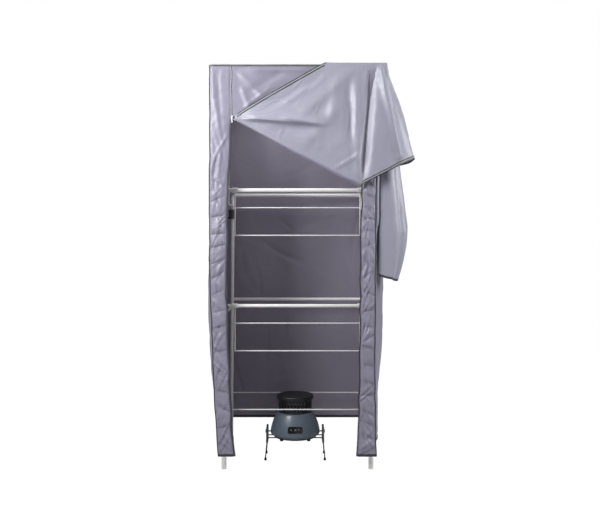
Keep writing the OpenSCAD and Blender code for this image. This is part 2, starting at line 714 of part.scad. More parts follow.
// The control window faces forward and a little up
window_at_h = 44;
window_tilt = atan((shell_at(window_at_h - 6) - shell_at(window_at_h + 6)) / 12);
module on_window() {
  translate([0, -shell_at(window_at_h), heater_z + window_at_h]) rotate([90 - window_tilt, 0, 0]) children();
}
window_t = 1.2;
window_r = 7;
module key_holes(d) {
  on_window() for (k = [-1:1]) translate([k * key_pitch, 0, -30]) cylinder(d = d, h = 60);
}

inlet_w = 30;
inlet_h = 18;
inlet_d = 14;
inlet_z = heater_z + 14;
module heater_shell() at_heater() color(slate_c) difference() {
  shell_solid(0);
  // the shoulder keeps its wall, and the mouth is bored through it
  translate([0, 0, heater_z]) rotate_extrude($fn = 96)
    polygon(concat([[0, -2]], [[shell_at(0) - shell_wall, -2]],
      [for (p = wall_line(shoulder_h - shell_wall)) [p[0] - shell_wall, p[1]]],
      [[mouth_r - shell_wall, shoulder_h - shell_wall], [mouth_r - shell_wall, shell_h + 4],
        [0, shell_h + 4]]));
  key_holes(key_d + 2 * seat);
  translate([-inlet_w / 2 - seat, 0, inlet_z - seat])
    cube([inlet_w + 2 * seat, shell_r + 10, inlet_h + 2 * seat]);
}

base_t = 4;
base_top_z = heater_z - seat;
motor_r = 24;
shaft_r = 3;
module heater_base() at_heater() color(black_c) {
  inlet_slots = 18;
  translate([0, 0, base_top_z - base_t]) difference() {
    cylinder(r = shell_at(0) - 1, h = base_t, $fn = 96);
    for (k = [0:inlet_slots - 1]) rotate([0, 0, 360 * (k + 0.5) / inlet_slots])
      translate([motor_r + 6, -2.2, -1]) cube([24, 4.4, base_t + 2]);
  }
}

heater_foot_h = 10;
heater_foot_r = 9;
heater_foot_x = 58;
heater_foot_y = 50;
heater_foot_z = base_top_z - base_t - seat - heater_foot_h;
module heater_feet() at_heater() color(black_c)
  for (sx = [-1, 1], sy = [-1, 1])
    translate([sx * heater_foot_x, sy * heater_foot_y, heater_foot_z])
      cylinder(r1 = heater_foot_r - 2, r2 = heater_foot_r, h = heater_foot_h);

// The neck stands on the shell's mouth by an inner flange
neck_z = heater_z + shell_h + seat;
neck_wall = 2.6;
flange_t = 3;
element_r = mouth_r - shell_wall - 1;
module outlet_neck() at_heater() color(black_c) translate([0, 0, neck_z]) difference() {
  cylinder(r = neck_r, h = neck_h, $fn = 96);
  translate([0, 0, -1]) cylinder(r = element_r - 6, h = neck_h + 2);
  translate([0, 0, flange_t]) cylinder(r = neck_r - neck_wall, h = neck_h, $fn = 96);
  for (k = [0:neck_slots - 1]) rotate([0, 0, 360 * (k + 0.5) / neck_slots])
    translate([neck_r - 8, -2.4, 9]) cube([16, 4.8, neck_h - 18]);
}

// The cap is a hollow drum with a rounded rim, and a ring below it that sits on the neck
cap_z = neck_z + neck_h + seat;
cap_wall = 3;
cap_round = 6;
module outlet_cap() at_heater() color(black_c) translate([0, 0, cap_z]) difference() {
  rotate_extrude($fn = 96) {
    square([cap_r, cap_h - cap_round]);
    square([cap_r - cap_round, cap_h]);
    translate([cap_r - cap_round, cap_h - cap_round]) intersection() {
      circle(r = cap_round, $fn = 64);
      square(cap_round);
    }
  }
  translate([0, 0, cap_wall]) cylinder(r = cap_r - cap_round, h = cap_h - 2 * cap_wall, $fn = 96);
  translate([0, 0, -1]) cylinder(r = neck_r - neck_wall - 8, h = cap_wall + 2, $fn = 96);
}

module control_window() at_heater() color(black_c) difference() {
  intersection() {
    shell_solid(window_t + seat);
    on_window() translate([0, 0, -20]) linear_extrude(40) rounded(window_w, window_h, window_r);
  }
  shell_solid(seat / 3);
  key_holes(key_d + 2 * seat);
}

// A key reaches through the window and the shell, with a flange behind the wall
key_out = key_travel + 1.4;
key_in = 9;
flange_in = shell_wall + 3.4;
module key(k) {
  on_window() translate([k * key_pitch, 0, 0]) {
    translate([0, 0, -key_in]) cylinder(d = key_d, h = key_in + key_out);
    translate([0, 0, -flange_in - 1.2]) cylinder(d = key_d + 3, h = 1.2);
  }
}
module key_power() at_heater() color(grey_c) key(-1);
module key_timer() at_heater() color(grey_c) key(0);
module key_heat() at_heater() color(grey_c) key(1);

motor_h = 34;
fan_z = base_top_z + seat + motor_h + 4;
fan_h = 20;
fan_hub_r = 14;
module fan_motor() at_heater() color(steel_c) translate([0, 0, base_top_z + seat]) {
  cylinder(r = motor_r, h = motor_h);
  cylinder(r = 7, h = motor_h + 3);
  cylinder(r = shaft_r, h = motor_h + 4 + fan_h);
}
module fan_rotor() at_heater() color(black_c) translate([0, 0, fan_z]) difference() {
  union() {
    cylinder(r = fan_hub_r, h = fan_h);
    for (k = [0:fan_blades - 1]) rotate([0, 0, 360 * k / fan_blades])
      translate([fan_hub_r - 3, 0, fan_h / 2]) rotate([32, 0, 0])
        translate([0, -11, -0.9]) cube([fan_r - fan_hub_r, 22, 1.8]);
  }
  translate([0, 0, -1]) cylinder(r = shaft_r + run_gap, h = fan_h + 2);
}

// Ceramic heating bars in a ring, hung under the neck's flange
element_h = 14;
module heat_element() at_heater() color([0.75, 0.72, 0.66])
  translate([0, 0, neck_z - seat - element_h]) {
    bars = 5;
    bar_pitch = 20;
    difference() {
      cylinder(r = element_r, h = element_h);
      translate([0, 0, -1]) cylinder(r = element_r - 4, h = element_h + 2);
    }
    intersection() {
      cylinder(r = element_r - 2, h = element_h);
      for (k = [0:bars - 1])
        translate([-element_r, (k - (bars - 1) / 2) * bar_pitch - 3.5, 1])
          cube([2 * element_r, 7, element_h - 2]);
    }
  }

// Socket for a mains lead, at the back of the shell
module power_inlet() at_heater() color(black_c)
  translate([-inlet_w / 2, shell_r - inlet_d + 2, inlet_z]) difference() {
    cube([inlet_w, inlet_d, inlet_h]);
    translate([3, 4, 3]) cube([inlet_w - 6, inlet_d, inlet_h - 6]);
  }

// ---- heater stand ----

bar_z0 = leg_pivot_z - 6;
bar_z1 = leg_pivot_z + 6;
bolt_z = heater_z + shell_wide_h;
bracket_x = stand_x - bracket_t / 2;
upright_y = 24;
upright_w = 9;
bolt_r = 3;
module bracket() {
  half_l = bracket_l / 2;
  difference() {
    union() {
      translate([bracket_x, -half_l, bar_z0]) cube([bracket_t, bracket_l, bar_z1 - bar_z0]);
      translate([bracket_x, -upright_y, bolt_z - 7]) cube([bracket_t, 2 * upright_y, 14]);
      for (s = [-1, 1])
        translate([bracket_x, s * upright_y - upright_w / 2, bar_z0])
          cube([bracket_t, upright_w, bracket_top - bar_z0 - upright_w / 2]);
      for (s = [-1, 1])
        translate([bracket_x, s * upright_y, bracket_top - upright_w / 2]) rotate([0, 90, 0])
          cylinder(d = upright_w, h = bracket_t);
    }
    translate([stand_x, half_l + 1, leg_pivot_z]) rotate([90, 0, 0])
      cylinder(r = leg_hub_r + run_gap, h = bracket_l + 2);
    translate([bracket_x - 1, 0, bolt_z]) rotate([0, 90, 0])
      cylinder(r = bolt_r + run_gap, h = bracket_t + 2);
  }
}
module stand_bracket_left() at_heater() color(grey_c) scale_x(-1) bracket();
module stand_bracket_right() at_heater() color(grey_c) bracket();

// Bolts that hold the shell between the brackets
module side_bolts() at_heater() color(steel_c)
  for (s = [-1, 1]) scale_x(s) {
    from = shell_r + seat;
    translate([from, 0, bolt_z]) rotate([0, 90, 0])
      cylinder(r = bolt_r, h = stand_x + bracket_t / 2 + seat + 3 - from);
    translate([stand_x + bracket_t / 2 + seat, 0, bolt_z]) rotate([0, 90, 0]) cylinder(r = 7, h = 3.4);
  }

// Two rods run under the base from one bracket's uprights to the other's
rod_r = stand_wire_d / 2;
rod_z = base_top_z - base_t - seat - rod_r;
module stand_rods() at_heater() color(grey_c)
  for (s = [-1, 1])
    translate([-bracket_x + seat, s * upright_y, rod_z]) rotate([0, 90, 0])
      cylinder(r = rod_r, h = 2 * (bracket_x - seat));

// A leg is a hub that turns in the bracket, with a splayed wire at each end
tip_h = 11;
leg_y = bracket_l / 2 + seat + rod_r;
leg_run = [leg_lean, leg_span / 2 - leg_y, -leg_pivot_z];
module leg() {
  translate([stand_x, leg_y, leg_pivot_z]) rotate([90, 0, 0]) cylinder(r = leg_hub_r, h = 2 * leg_y);
  for (s = [-1, 1])
    translate([stand_x, s * leg_y, leg_pivot_z]) {
      sphere(r = leg_hub_r);
      intersection() {
        rotate([0, 0, atan2(s * leg_run[1], leg_run[0])])
          rotate([0, 180 - atan2(norm([leg_run[0], leg_run[1]]), leg_pivot_z), 0])
            cylinder(r = rod_r, h = norm(leg_run));
        translate([-60, -60, tip_h + seat - leg_pivot_z]) cube([120, 120, leg_pivot_z]);
      }
    }
}
module stand_leg_left() at_heater() color(grey_c) scale_x(-1) leg();
module stand_leg_right() at_heater() color(grey_c) leg();

// Where a leg's wire passes height z
function leg_at(z) = let (t = 1 - z / leg_pivot_z) [stand_x + leg_run[0] * t, leg_y + leg_run[1] * t];
module leg_tips() {
  at = leg_at(tip_h);
  for (s = [-1, 1])
    translate([at[0], s * at[1], 0]) cylinder(r1 = rod_r + 3, r2 = rod_r + 1.8, h = tip_h);
}
module leg_tips_left() at_heater() color(black_c) scale_x(-1) leg_tips();
module leg_tips_right() at_heater() color(black_c) leg_tips();

front_frame();
rear_frame();
front_mid_bar();
rear_mid_bar();
front_low_rung();
rear_low_rung();
side_rails_left();
side_rails_right();
foot_caps();
wing_upper();
wing_middle();
frame_clamps();
roof_post_front_left();
roof_post_front_right();
roof_post_rear_left();
roof_post_rear_right();
roof_hubs();
roof_rail_front();
roof_rail_rear();
roof_rails_side();
hanging_rail();
cover_roof();
roof_piping();
cover_left();
cover_right();
cover_back();
front_flap_left();
front_flap_right();
door_panel();
zip_tape_left();
zip_tape_right();
zip_slider_left();
zip_slider_right();
zip_pull_left();
zip_pull_right();
heater_shell();
heater_base();
heater_feet();
outlet_neck();
outlet_cap();
control_window();
key_power();
key_timer();
key_heat();
fan_motor();
fan_rotor();
heat_element();
power_inlet();
stand_bracket_left();
stand_bracket_right();
stand_leg_left();
stand_leg_right();
leg_tips_left();
leg_tips_right();
stand_rods();
side_bolts();
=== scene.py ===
"""Looks of the cloth drying cabinet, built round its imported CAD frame."""
import math

import bpy
import numpy as np
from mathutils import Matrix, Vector


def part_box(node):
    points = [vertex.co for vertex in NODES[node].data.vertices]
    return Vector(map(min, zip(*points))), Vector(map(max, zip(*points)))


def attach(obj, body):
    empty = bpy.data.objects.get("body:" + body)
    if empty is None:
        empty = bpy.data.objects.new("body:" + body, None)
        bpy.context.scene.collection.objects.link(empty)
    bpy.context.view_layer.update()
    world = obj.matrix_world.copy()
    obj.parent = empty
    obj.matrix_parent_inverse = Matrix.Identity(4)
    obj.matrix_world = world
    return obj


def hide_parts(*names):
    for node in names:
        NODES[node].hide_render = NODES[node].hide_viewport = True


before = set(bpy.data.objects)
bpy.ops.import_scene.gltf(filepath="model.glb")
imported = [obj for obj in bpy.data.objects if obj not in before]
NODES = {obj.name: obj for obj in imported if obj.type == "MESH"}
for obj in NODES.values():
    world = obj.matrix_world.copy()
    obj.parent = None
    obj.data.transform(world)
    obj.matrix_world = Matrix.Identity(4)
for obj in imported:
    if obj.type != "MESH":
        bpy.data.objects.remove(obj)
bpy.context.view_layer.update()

# ---- the part's own sizes, in millimetres in its own coordinates ----

W, D, H = 710.0, 470.0, 1650.0
HALF_W, HALF_D = W / 2, D / 2
FLAP_W, TAPE_W, PIPING_D = 90.0, 14.0, 6.0
FRONT_HEM, REAR_HEM = 64.0, 120.0
BELLY, FOLD = 20.0, 4.0             # how far the sides belly out and how deep their broad folds are
DRAW_IN, DRAW_Z = 30.0, 900.0       # how far the foot is drawn in, and from which height down
CLOTH_T, HALF_T, SEAT = 2.4, 1.2, 0.3
ZIP_X = HALF_W - FLAP_W
WALL_TOP = H - CLOTH_T - SEAT
FOLD_L, FOLD_R = 1437.0, 1160.0     # heights of the door's rolled edge at its two ends
FOLD_GAP = 24.0                     # between the closed part and the part folded over it
SKIN = 0.55                         # half the thickness that the cloth is shown with
FRONT_Y = -HALF_D + HALF_T

lo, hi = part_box("cover_roof")
OX, OY = (lo.x + hi.x) / 2, (lo.y + hi.y) / 2


def row(p):
    """A point or an array of points in the part's millimetres, in the row frame in metres."""
    return np.asarray(p, float) / 1000 + np.array([OX, OY, 0])


# ---- smooth noise and creases ----

def value_noise(x, y, seed, cell):
    """Smooth noise from -1 to 1 over a lattice of that cell."""
    table = np.random.RandomState(seed).uniform(-1, 1, (64, 64))
    x, y = x / cell, y / cell
    i, j = np.floor(x).astype(int), np.floor(y).astype(int)
    fx, fy = x - i, y - j
    fx, fy = fx * fx * (3 - 2 * fx), fy * fy * (3 - 2 * fy)
    a, b = table[i % 64, j % 64], table[(i + 1) % 64, j % 64]
    c, d = table[i % 64, (j + 1) % 64], table[(i + 1) % 64, (j + 1) % 64]
    return (a * (1 - fx) + b * fx) * (1 - fy) + (c * (1 - fx) + d * fx) * fy


def creases(s, t, seed, count, box, length, width, height, angles, sharp=0.5):
    """The sum of many short pinched folds; s and t are millimetres over the cloth.

    The box bounds their middles (s from and to, t from and to), length, width and height are
    ranges in millimetres, and the angles are degrees from s towards t.
    """
    rng = np.random.RandomState(seed)
    out = np.zeros_like(s)
    for _ in range(count):
        cs, ct = rng.uniform(box[0], box[1]), rng.uniform(box[2], box[3])
        a = math.radians(angles[rng.randint(len(angles))] + rng.uniform(-12, 12))
        half, w, h = rng.uniform(*length) / 2, rng.uniform(*width), rng.uniform(*height)
        bow = rng.uniform(-0.003, 0.003)
        ds = (s - cs) * math.cos(a) + (t - ct) * math.sin(a)
        dn = -(s - cs) * math.sin(a) + (t - ct) * math.cos(a) + bow * ds * ds
        body = np.exp(-np.abs(ds / half) ** 3)
        x = dn / (w * (0.6 + 0.4 * body))
        ridge = np.exp(-np.abs(x) ** 1.4) - 0.45 * np.exp(-((x - 1.5) ** 2))
        step = 1.5 * x * np.exp(-x * x)
        out += h * body * (sharp * ridge + (1 - sharp) * step)
    return out


def hill(t):
    """0 at both ends and 1 in the middle."""
    return np.sin(np.pi * np.clip(t, 0, 1)) ** 2


def smooth(a, b, t):
    """0 at a and 1 at b, with a soft start and end; a may be the larger."""
    x = np.clip((t - a) / (b - a), 0, 1)
    return x * x * (3 - 2 * x)


# ---- meshes ----

def new_object(name, verts, faces, mats, face_mats=None, uvs=None, smooth_faces=True):
    """A mesh object in the scene, from points in the row frame."""
    mesh = bpy.data.meshes.new(name)
    mesh.from_pydata([tuple(v) for v in verts], [], [tuple(f) for f in faces])
    for m in mats:
        mesh.materials.append(m)
    if face_mats is not None:
        mesh.polygons.foreach_set("material_index", np.asarray(face_mats, np.int32))
    if uvs is not None:
        layer = mesh.uv_layers.new(name="metric")
        index = np.zeros(len(mesh.loops), np.int32)
        mesh.loops.foreach_get("vertex_index", index)
        layer.data.foreach_set("uv", np.asarray(uvs, np.float32)[index].ravel())
    if smooth_faces:
        mesh.polygons.foreach_set("use_smooth", np.ones(len(mesh.polygons), bool))
    mesh.update()
    obj = bpy.data.objects.new(name, mesh)
    bpy.context.scene.collection.objects.link(obj)
    return obj


def normals_of(p):
    """Unit normals of a grid of points (rows, columns, 3): across the columns, then the rows."""
    du = np.gradient(p, axis=1)
    dv = np.gradient(p, axis=0)
    n = np.cross(du, dv)
    return n / np.maximum(np.linalg.norm(n, axis=2, keepdims=True), 1e-9)


def metric_uv(p):
    """Lengths over the cloth in metres, as UVs, so that weave has its real scale."""
    du = np.linalg.norm(np.diff(p, axis=1), axis=2).mean(axis=0)
    dv = np.linalg.norm(np.diff(p, axis=0), axis=2).mean(axis=1)
    u = np.concatenate([[0], np.cumsum(du)]) / 1000
    v = np.concatenate([[0], np.cumsum(dv)]) / 1000
    uu, vv = np.meshgrid(u, v)
    return np.stack([uu, vv], axis=2)


class Patch:
    """A sheet of cloth on a grid. Its outer face is on the side of its normals."""

    def __init__(self, points, skin=SKIN, flip=False, kinds=(0, 1)):
        self.p = points[:, ::-1] if flip else points
        self.skin = skin
        self.kinds = kinds

    def mesh(self, first):
        """Points, faces, looks and UVs of the sheet, with its points numbered from first."""
        rows, cols = self.p.shape[:2]
        n = normals_of(self.p)
        outer = (self.p + n * self.skin).reshape(-1, 3)
        inner = (self.p - n * self.skin).reshape(-1, 3)
        uv = metric_uv(self.p).reshape(-1, 2)
        k = rows * cols
        j, i = np.meshgrid(np.arange(rows - 1), np.arange(cols - 1), indexing="ij")
        a = (j * cols + i).ravel()
        skin = np.stack([a, a + 1, a + cols + 1, a + cols], axis=1)
        back = np.stack([a + k, a + cols + k, a + cols + 1 + k, a + 1 + k], axis=1)
        rim = np.concatenate([
            np.arange(cols), np.arange(1, rows) * cols + cols - 1,
            (rows - 1) * cols + np.arange(cols - 2, -1, -1),
            np.arange(rows - 2, 0, -1) * cols])
        nxt = np.roll(rim, -1)
        band = np.stack([rim, rim + k, nxt + k, nxt], axis=1)
        faces = np.concatenate([skin, back, band]) + first
        mats = np.repeat((self.kinds[0], self.kinds[1], self.kinds[0]), (len(skin), len(back), len(band)))
        return np.concatenate([outer, inner]), faces, mats, np.concatenate([uv, uv])


def cloth_object(name, patches, mats):
    """One mesh of several patches, each a closed sheet of its own."""
    parts, first = [], 0
    for patch in patches:
        parts.append(patch.mesh(first))
        first += len(parts[-1][0])
    verts, faces, kinds, uvs = (np.concatenate(arrays) for arrays in zip(*parts))
    return new_object(name, row(verts), faces, mats, kinds, uvs)


def grid(cols, rows):
    """(U, V) over 0 to 1, with V up the rows."""
    return np.meshgrid(np.linspace(0, 1, cols + 1), np.linspace(0, 1, rows + 1))


def tube(name, line, radius, mats, sides=10, closed=False):
    """A round tube along points in the part's millimetres."""
    pts = np.asarray(line, float)
    k = len(pts)
    tangent = np.roll(pts, -1, 0) - np.roll(pts, 1, 0) if closed else np.gradient(pts, axis=0)
    tangent /= np.linalg.norm(tangent, axis=1, keepdims=True)
    up = np.array([0, 0, 1.0]) if abs(tangent[0][2]) < 0.9 else np.array([0, 1.0, 0])
    side = np.cross(tangent[0], up)
    rings = []
    for i in range(k):
        side = side - tangent[i] * side.dot(tangent[i])
        side /= np.linalg.norm(side)
        other = np.cross(tangent[i], side)
        a = np.arange(sides) * 2 * math.pi / sides
        rings.append(pts[i] + radius * (np.outer(np.cos(a), side) + np.outer(np.sin(a), other)))
    verts = np.concatenate(rings)
    faces = []
    for i in range(k if closed else k - 1):
        for s in range(sides):
            a, b = i * sides + s, i * sides + (s + 1) % sides
            c, d = ((i + 1) % k) * sides + (s + 1) % sides, ((i + 1) % k) * sides + s
            faces.append((a, b, c, d))
    if not closed:
        faces.append(tuple(range(sides))[::-1])
        faces.append(tuple((k - 1) * sides + s for s in range(sides)))
    return new_object(name, row(verts), faces, mats)


def beads(name, spots, mats):
    """Many little closed lumps in one piece: each spot is (middle, long axis, wide axis, depth axis)."""
    base = np.array([[x, y, z] for z in (-1, 1) for y in (-1, 1) for x in (-1, 1)], float)
    shape = base * np.array([1, 0.8, 0.8])
    quads = np.array([(0, 2, 3, 1), (4, 5, 7, 6), (0, 1, 5, 4), (2, 6, 7, 3), (0, 4, 6, 2), (1, 3, 7, 5)])
    spots = np.asarray(spots, float)
    verts = (spots[:, None, 0] + shape[None, :, :1] * spots[:, None, 1]
             + shape[None, :, 1:2] * spots[:, None, 2] + shape[None, :, 2:] * spots[:, None, 3])
    faces = (quads[None] + 8 * np.arange(len(spots))[:, None, None]).reshape(-1, 4)
    return new_object(name, row(verts.reshape(-1, 3)), faces, mats, smooth_faces=False)


def spots_along(line, step):
    """Evenly spaced lengths along a line, and the length at each of its points."""
    run = np.concatenate([[0], np.cumsum(np.linalg.norm(np.diff(line, axis=0), axis=1))])
    count = max(2, int(run[-1] / step))
    return (np.arange(count) + 0.5) * run[-1] / count, run


def resample(line, step):
    """Points along a line, evenly spaced by about that step."""
    line = np.asarray(line, float)
    at, run = spots_along(line, step)
    return np.stack([np.interp(at, run, line[:, c]) for c in range(3)], axis=1)


# ---- materials ----

def material(name, color, roughness, metallic=0.0, **sockets):
    m = bpy.data.materials.new(name)
    m.use_nodes = True
    m.diffuse_color = (*color, 1)
    b = m.node_tree.nodes["Principled BSDF"]
    b.inputs["Base Color"].default_value = (*color, 1)
    b.inputs["Roughness"].default_value = roughness
    b.inputs["Metallic"].default_value = metallic
    for key, value in sockets.items():
        b.inputs[key.replace("_", " ")].default_value = value
    return m


class Nodes:
    """A short way to add and join shader nodes in one material."""

    def __init__(self, m):
        self.tree = m.node_tree
        self.bsdf = self.tree.nodes["Principled BSDF"]

    def add(self, kind, **values):
        n = self.tree.nodes.new(kind)
        for key, value in values.items():
            setattr(n, key, value)
        return n

    def join(self, a, b):
        self.tree.links.new(a, b)

    def coords(self, uv=False, scale=(1, 1, 1)):
        t = self.add("ShaderNodeTexCoord")
        m = self.add("ShaderNodeMapping")
        m.inputs["Scale"].default_value = scale
        self.join(t.outputs["UV" if uv else "Object"], m.inputs["Vector"])
        return m.outputs["Vector"]

    def noise(self, vector, scale, detail, rough=0.5):
        n = self.add("ShaderNodeTexNoise")
        n.inputs["Scale"].default_value = scale
        n.inputs["Detail"].default_value = detail
        n.inputs["Roughness"].default_value = rough
        self.join(vector, n.inputs["Vector"])
        return n.outputs["Fac"]

    def ramp(self, fac, first, last, margin):
        """From the first colour to the last; both hold over that margin at their end."""
        r = self.add("ShaderNodeValToRGB")
        for e, at, c in zip(r.color_ramp.elements, (margin, 1 - margin), (first, last)):
            e.position = at
            e.color = (*c, 1)
        self.join(fac, r.inputs["Fac"])
        return r.outputs["Color"]

    def math(self, op, a, b):
        n = self.add("ShaderNodeMath", operation=op)
        for k, v in enumerate((a, b)):
            if isinstance(v, (int, float)):
                n.inputs[k].default_value = v
            else:
                self.join(v, n.inputs[k])
        return n.outputs["Value"]

    def bump(self, height, strength, distance, after=None):
        b = self.add("ShaderNodeBump")
        b.inputs["Strength"].default_value = strength
        b.inputs["Distance"].default_value = distance
        self.join(height, b.inputs["Height"])
        if after is not None:
            self.join(after, b.inputs["Normal"])
        return b.outputs["Normal"]

    def wave(self, vector, scale, direction):
        w = self.add("ShaderNodeTexWave", bands_direction=direction)
        w.inputs["Scale"].default_value = scale
        w.inputs["Distortion"].default_value = 0.0
        self.join(vector, w.inputs["Vector"])
        return w.outputs["Fac"]

    def color(self, fac, dark, pale, margin=0.3):
        self.join(self.ramp(fac, dark, pale, margin), self.bsdf.inputs["Base Color"])

    def rough(self, fac, least, most):
        self.join(self.ramp(fac, (least,) * 3, (most,) * 3, 0.3), self.bsdf.inputs["Roughness"])

    def normal(self, socket):
        self.join(socket, self.bsdf.inputs["Normal"])


def shade(c, k):
    return tuple(min(1, x * k) for x in c)


# in metres
THREAD, THREAD_DEPTH, RIB, RIB_DEPTH = 0.0011, 0.00012, 0.0016, 0.0002


def wave_scale(pitch):
    """The wave node's scale for one band in each pitch, in metres."""
    return 2 * math.pi / pitch / 20


def cloth_material(name, color, roughness, specular=0.5, sheen=0.25, mottle=0.10):
    """Coated cloth: a plain weave of real scale, faint crinkles and a soft sheen."""
    m = material(name, color, roughness, Sheen_Weight=sheen, Sheen_Roughness=0.4, Specular_IOR_Level=specular)
    n = Nodes(m)
    uv, obj = n.coords(uv=True), n.coords()
    warp = n.wave(uv, wave_scale(THREAD), "X")
    weft = n.wave(uv, wave_scale(THREAD), "Y")
    weave = n.math("MULTIPLY", warp, weft)
    crinkle = n.noise(obj, 38, 5, 0.62)
    cloud = n.noise(obj, 5.5, 4, 0.6)
    tone = n.math("ADD", n.math("MULTIPLY", cloud, 0.75), n.math("MULTIPLY", weave, 0.25))
    n.color(tone, shade(color, 1 - mottle), shade(color, 1 + mottle), 0.28)
    n.rough(n.noise(obj, 60, 3), roughness - 0.05, roughness + 0.07)
    fine = n.bump(weave, 0.35, THREAD_DEPTH)
    n.normal(n.bump(crinkle, 0.55, 0.0016, fine))
    return m


def ribbed_tape(name, color):
    """Woven tape: fine ribs across it and a mottled shade."""
    m = material(name, color, 0.62, Sheen_Weight=0.25, Sheen_Roughness=0.5)
    n = Nodes(m)
    uv, obj = n.coords(uv=True), n.coords()
    ribs = n.wave(uv, wave_scale(RIB), "Y")
    mottle = n.math("MULTIPLY", n.noise(obj, 90, 3), 0.6)
    n.color(n.math("ADD", mottle, n.math("MULTIPLY", ribs, 0.4)), shade(color, 0.8), shade(color, 1.25), 0.25)
    n.normal(n.bump(ribs, 0.5, RIB_DEPTH))
    return m


def painted(name, color, roughness):
    """Powder coat: a fine orange-peel skin with a little unevenness."""
    m = material(name, color, roughness, Coat_Weight=0.25, Coat_Roughness=0.2)
    n = Nodes(m)
    obj = n.coords()
    n.color(n.noise(obj, 14, 4), shade(color, 0.95), shade(color, 1.04))
    n.rough(n.noise(obj, 45, 3), roughness - 0.04, roughness + 0.06)
    n.normal(n.bump(n.noise(obj, 900, 2), 0.25, 0.00008))
    return m


def moulded(name, color, roughness, grain=1500, depth=0.00006, coat=0.0):
    """Moulded plastic: a fine etched grain and a slightly uneven gloss."""
    m = material(name, color, roughness, Coat_Weight=coat, Coat_Roughness=0.12)
    n = Nodes(m)
    obj = n.coords()
    n.color(n.noise(obj, 22, 4), shade(color, 0.92), shade(color, 1.07))
    n.rough(n.noise(obj, 70, 4), roughness - 0.05, roughness + 0.06)
    n.normal(n.bump(n.noise(obj, grain, 2), 0.3, depth))
    return m


def steel(name, color, roughness, along=(900, 30, 30), metallic=1.0):
    """Drawn or turned metal: streaks along one way."""
    m = material(name, color, roughness, metallic)
    n = Nodes(m)
    streaks = n.noise(n.coords(scale=along), 1.0, 3)
    n.color(streaks, shade(color, 0.88), shade(color, 1.08))
    n.rough(streaks, roughness - 0.06, roughness + 0.08)
    n.normal(n.bump(streaks, 0.15, 0.00003))
    return m


def printed(name, color):
    """Ink on a key: nearly one shade."""
    m = material(name, color, 0.5)
    n = Nodes(m)
    n.color(n.noise(n.coords(), 400, 2), [c - 0.06 for c in color], [c + 0.04 for c in color])
    return m


OUTSIDE = (0.262, 0.248, 0.325)
INSIDE = (0.330, 0.322, 0.400)
# the inner faces of the walls and roof: the cover's own cloth, painted darker to stand for the shade inside
# the cabinet
INNER_FACE_SHADED = (0.235, 0.215, 0.270)
cloth_out = cloth_material("cover_cloth_outside", OUTSIDE, 0.40)
cloth_in = cloth_material("cover_cloth_inside", INSIDE, 0.38, mottle=0.05)
cloth_roof = cloth_material("cover_cloth_roof", OUTSIDE, 0.60, specular=0.12, sheen=0.08)
# painted shade: the inner faces take a darker copy of the cover's cloth
cloth_inner_shaded = cloth_material("cover_cloth_inner_painted_shade", INNER_FACE_SHADED, 0.5, mottle=0.06)
binding_m = ribbed_tape("hem_binding", (0.030, 0.028, 0.042))
tape_m = ribbed_tape("zip_tape_cloth", (0.060, 0.062, 0.072))
pale_tape_m = ribbed_tape("closed_zip_tape", (0.27, 0.275, 0.275))
cord_m = ribbed_tape("piping_cloth", (0.26, 0.265, 0.265))
teeth_m = moulded("zip_coil", (0.035, 0.036, 0.045), 0.35)
thread_m = ribbed_tape("sewing_thread", (0.23, 0.225, 0.28))
tube_m = painted("tube_coat", (0.80, 0.80, 0.785), 0.30)
wire_m = painted("wire_coat", (0.70, 0.70, 0.70), 0.30)
cap_m = moulded("foot_cap_plastic", (0.80, 0.80, 0.77), 0.42)
grey_m = moulded("clamp_plastic", (0.085, 0.088, 0.096), 0.48)
zip_m = steel("zip_metal", (0.92, 0.92, 0.93), 0.28, metallic=0.2)
slate_m = moulded("slate_plastic", (0.105, 0.135, 0.170), 0.34, coat=0.2)
black_m = moulded("black_plastic", (0.005, 0.005, 0.006), 0.48)
gloss_m = moulded("window_plastic", (0.003, 0.003, 0.004), 0.2, depth=0.00001, coat=0.15)
key_m = moulded("key_plastic", (0.010, 0.011, 0.013), 0.36)
rubber_m = moulded("rubber", (0.018, 0.018, 0.019), 0.75, grain=700, depth=0.0001)
motor_m = steel("motor_steel", (0.30, 0.30, 0.32), 0.40, along=(30, 30, 900))
ceramic_m = moulded("ceramic", (0.060, 0.057, 0.052), 0.8, grain=500, depth=0.0001)
stand_m = painted("stand_coat", (0.060, 0.060, 0.066), 0.38)
mark_m = printed("key_marks", (0.78, 0.80, 0.82))

LOOKS = {
    tube_m: """front_frame rear_frame front_mid_bar rear_mid_bar side_rails_left side_rails_right
        roof_post_front_left roof_post_front_right roof_post_rear_left roof_post_rear_right
        roof_rail_front roof_rail_rear roof_rails_side hanging_rail""",
    wire_m: "front_low_rung rear_low_rung wing_upper wing_middle",
    cap_m: "foot_caps",
    grey_m: "frame_clamps roof_hubs stand_bracket_left stand_bracket_right",
    zip_m: "zip_slider_left zip_slider_right zip_pull_left zip_pull_right",
    slate_m: "heater_shell",
    black_m: "heater_base outlet_neck outlet_cap fan_rotor power_inlet",
    gloss_m: "control_window",
    key_m: "key_power key_timer key_heat",
    rubber_m: "heater_feet leg_tips_left leg_tips_right",
    motor_m: "fan_motor side_bolts",
    ceramic_m: "heat_element",
    stand_m: "stand_leg_left stand_leg_right stand_rods",
}
for look, names in LOOKS.items():
    for node in names.split():
        NODES[node].data.materials.clear()
        NODES[node].data.materials.append(look)


# ---- shape of the hanging cloth, as the part's solids have it ----

def drawn(z):
    """How far the cover's foot is drawn in at that height."""
    return np.where(z >= DRAW_Z, 0.0, DRAW_IN * ((DRAW_Z - np.minimum(z, DRAW_Z)) / DRAW_Z) ** 2)


def corner_x(z):
    return HALF_W - HALF_T - drawn(z)


def corner_y(z):
    return HALF_D - HALF_T - drawn(z) / 2


def zip_x(z):
    return ZIP_X - drawn(z) / 2


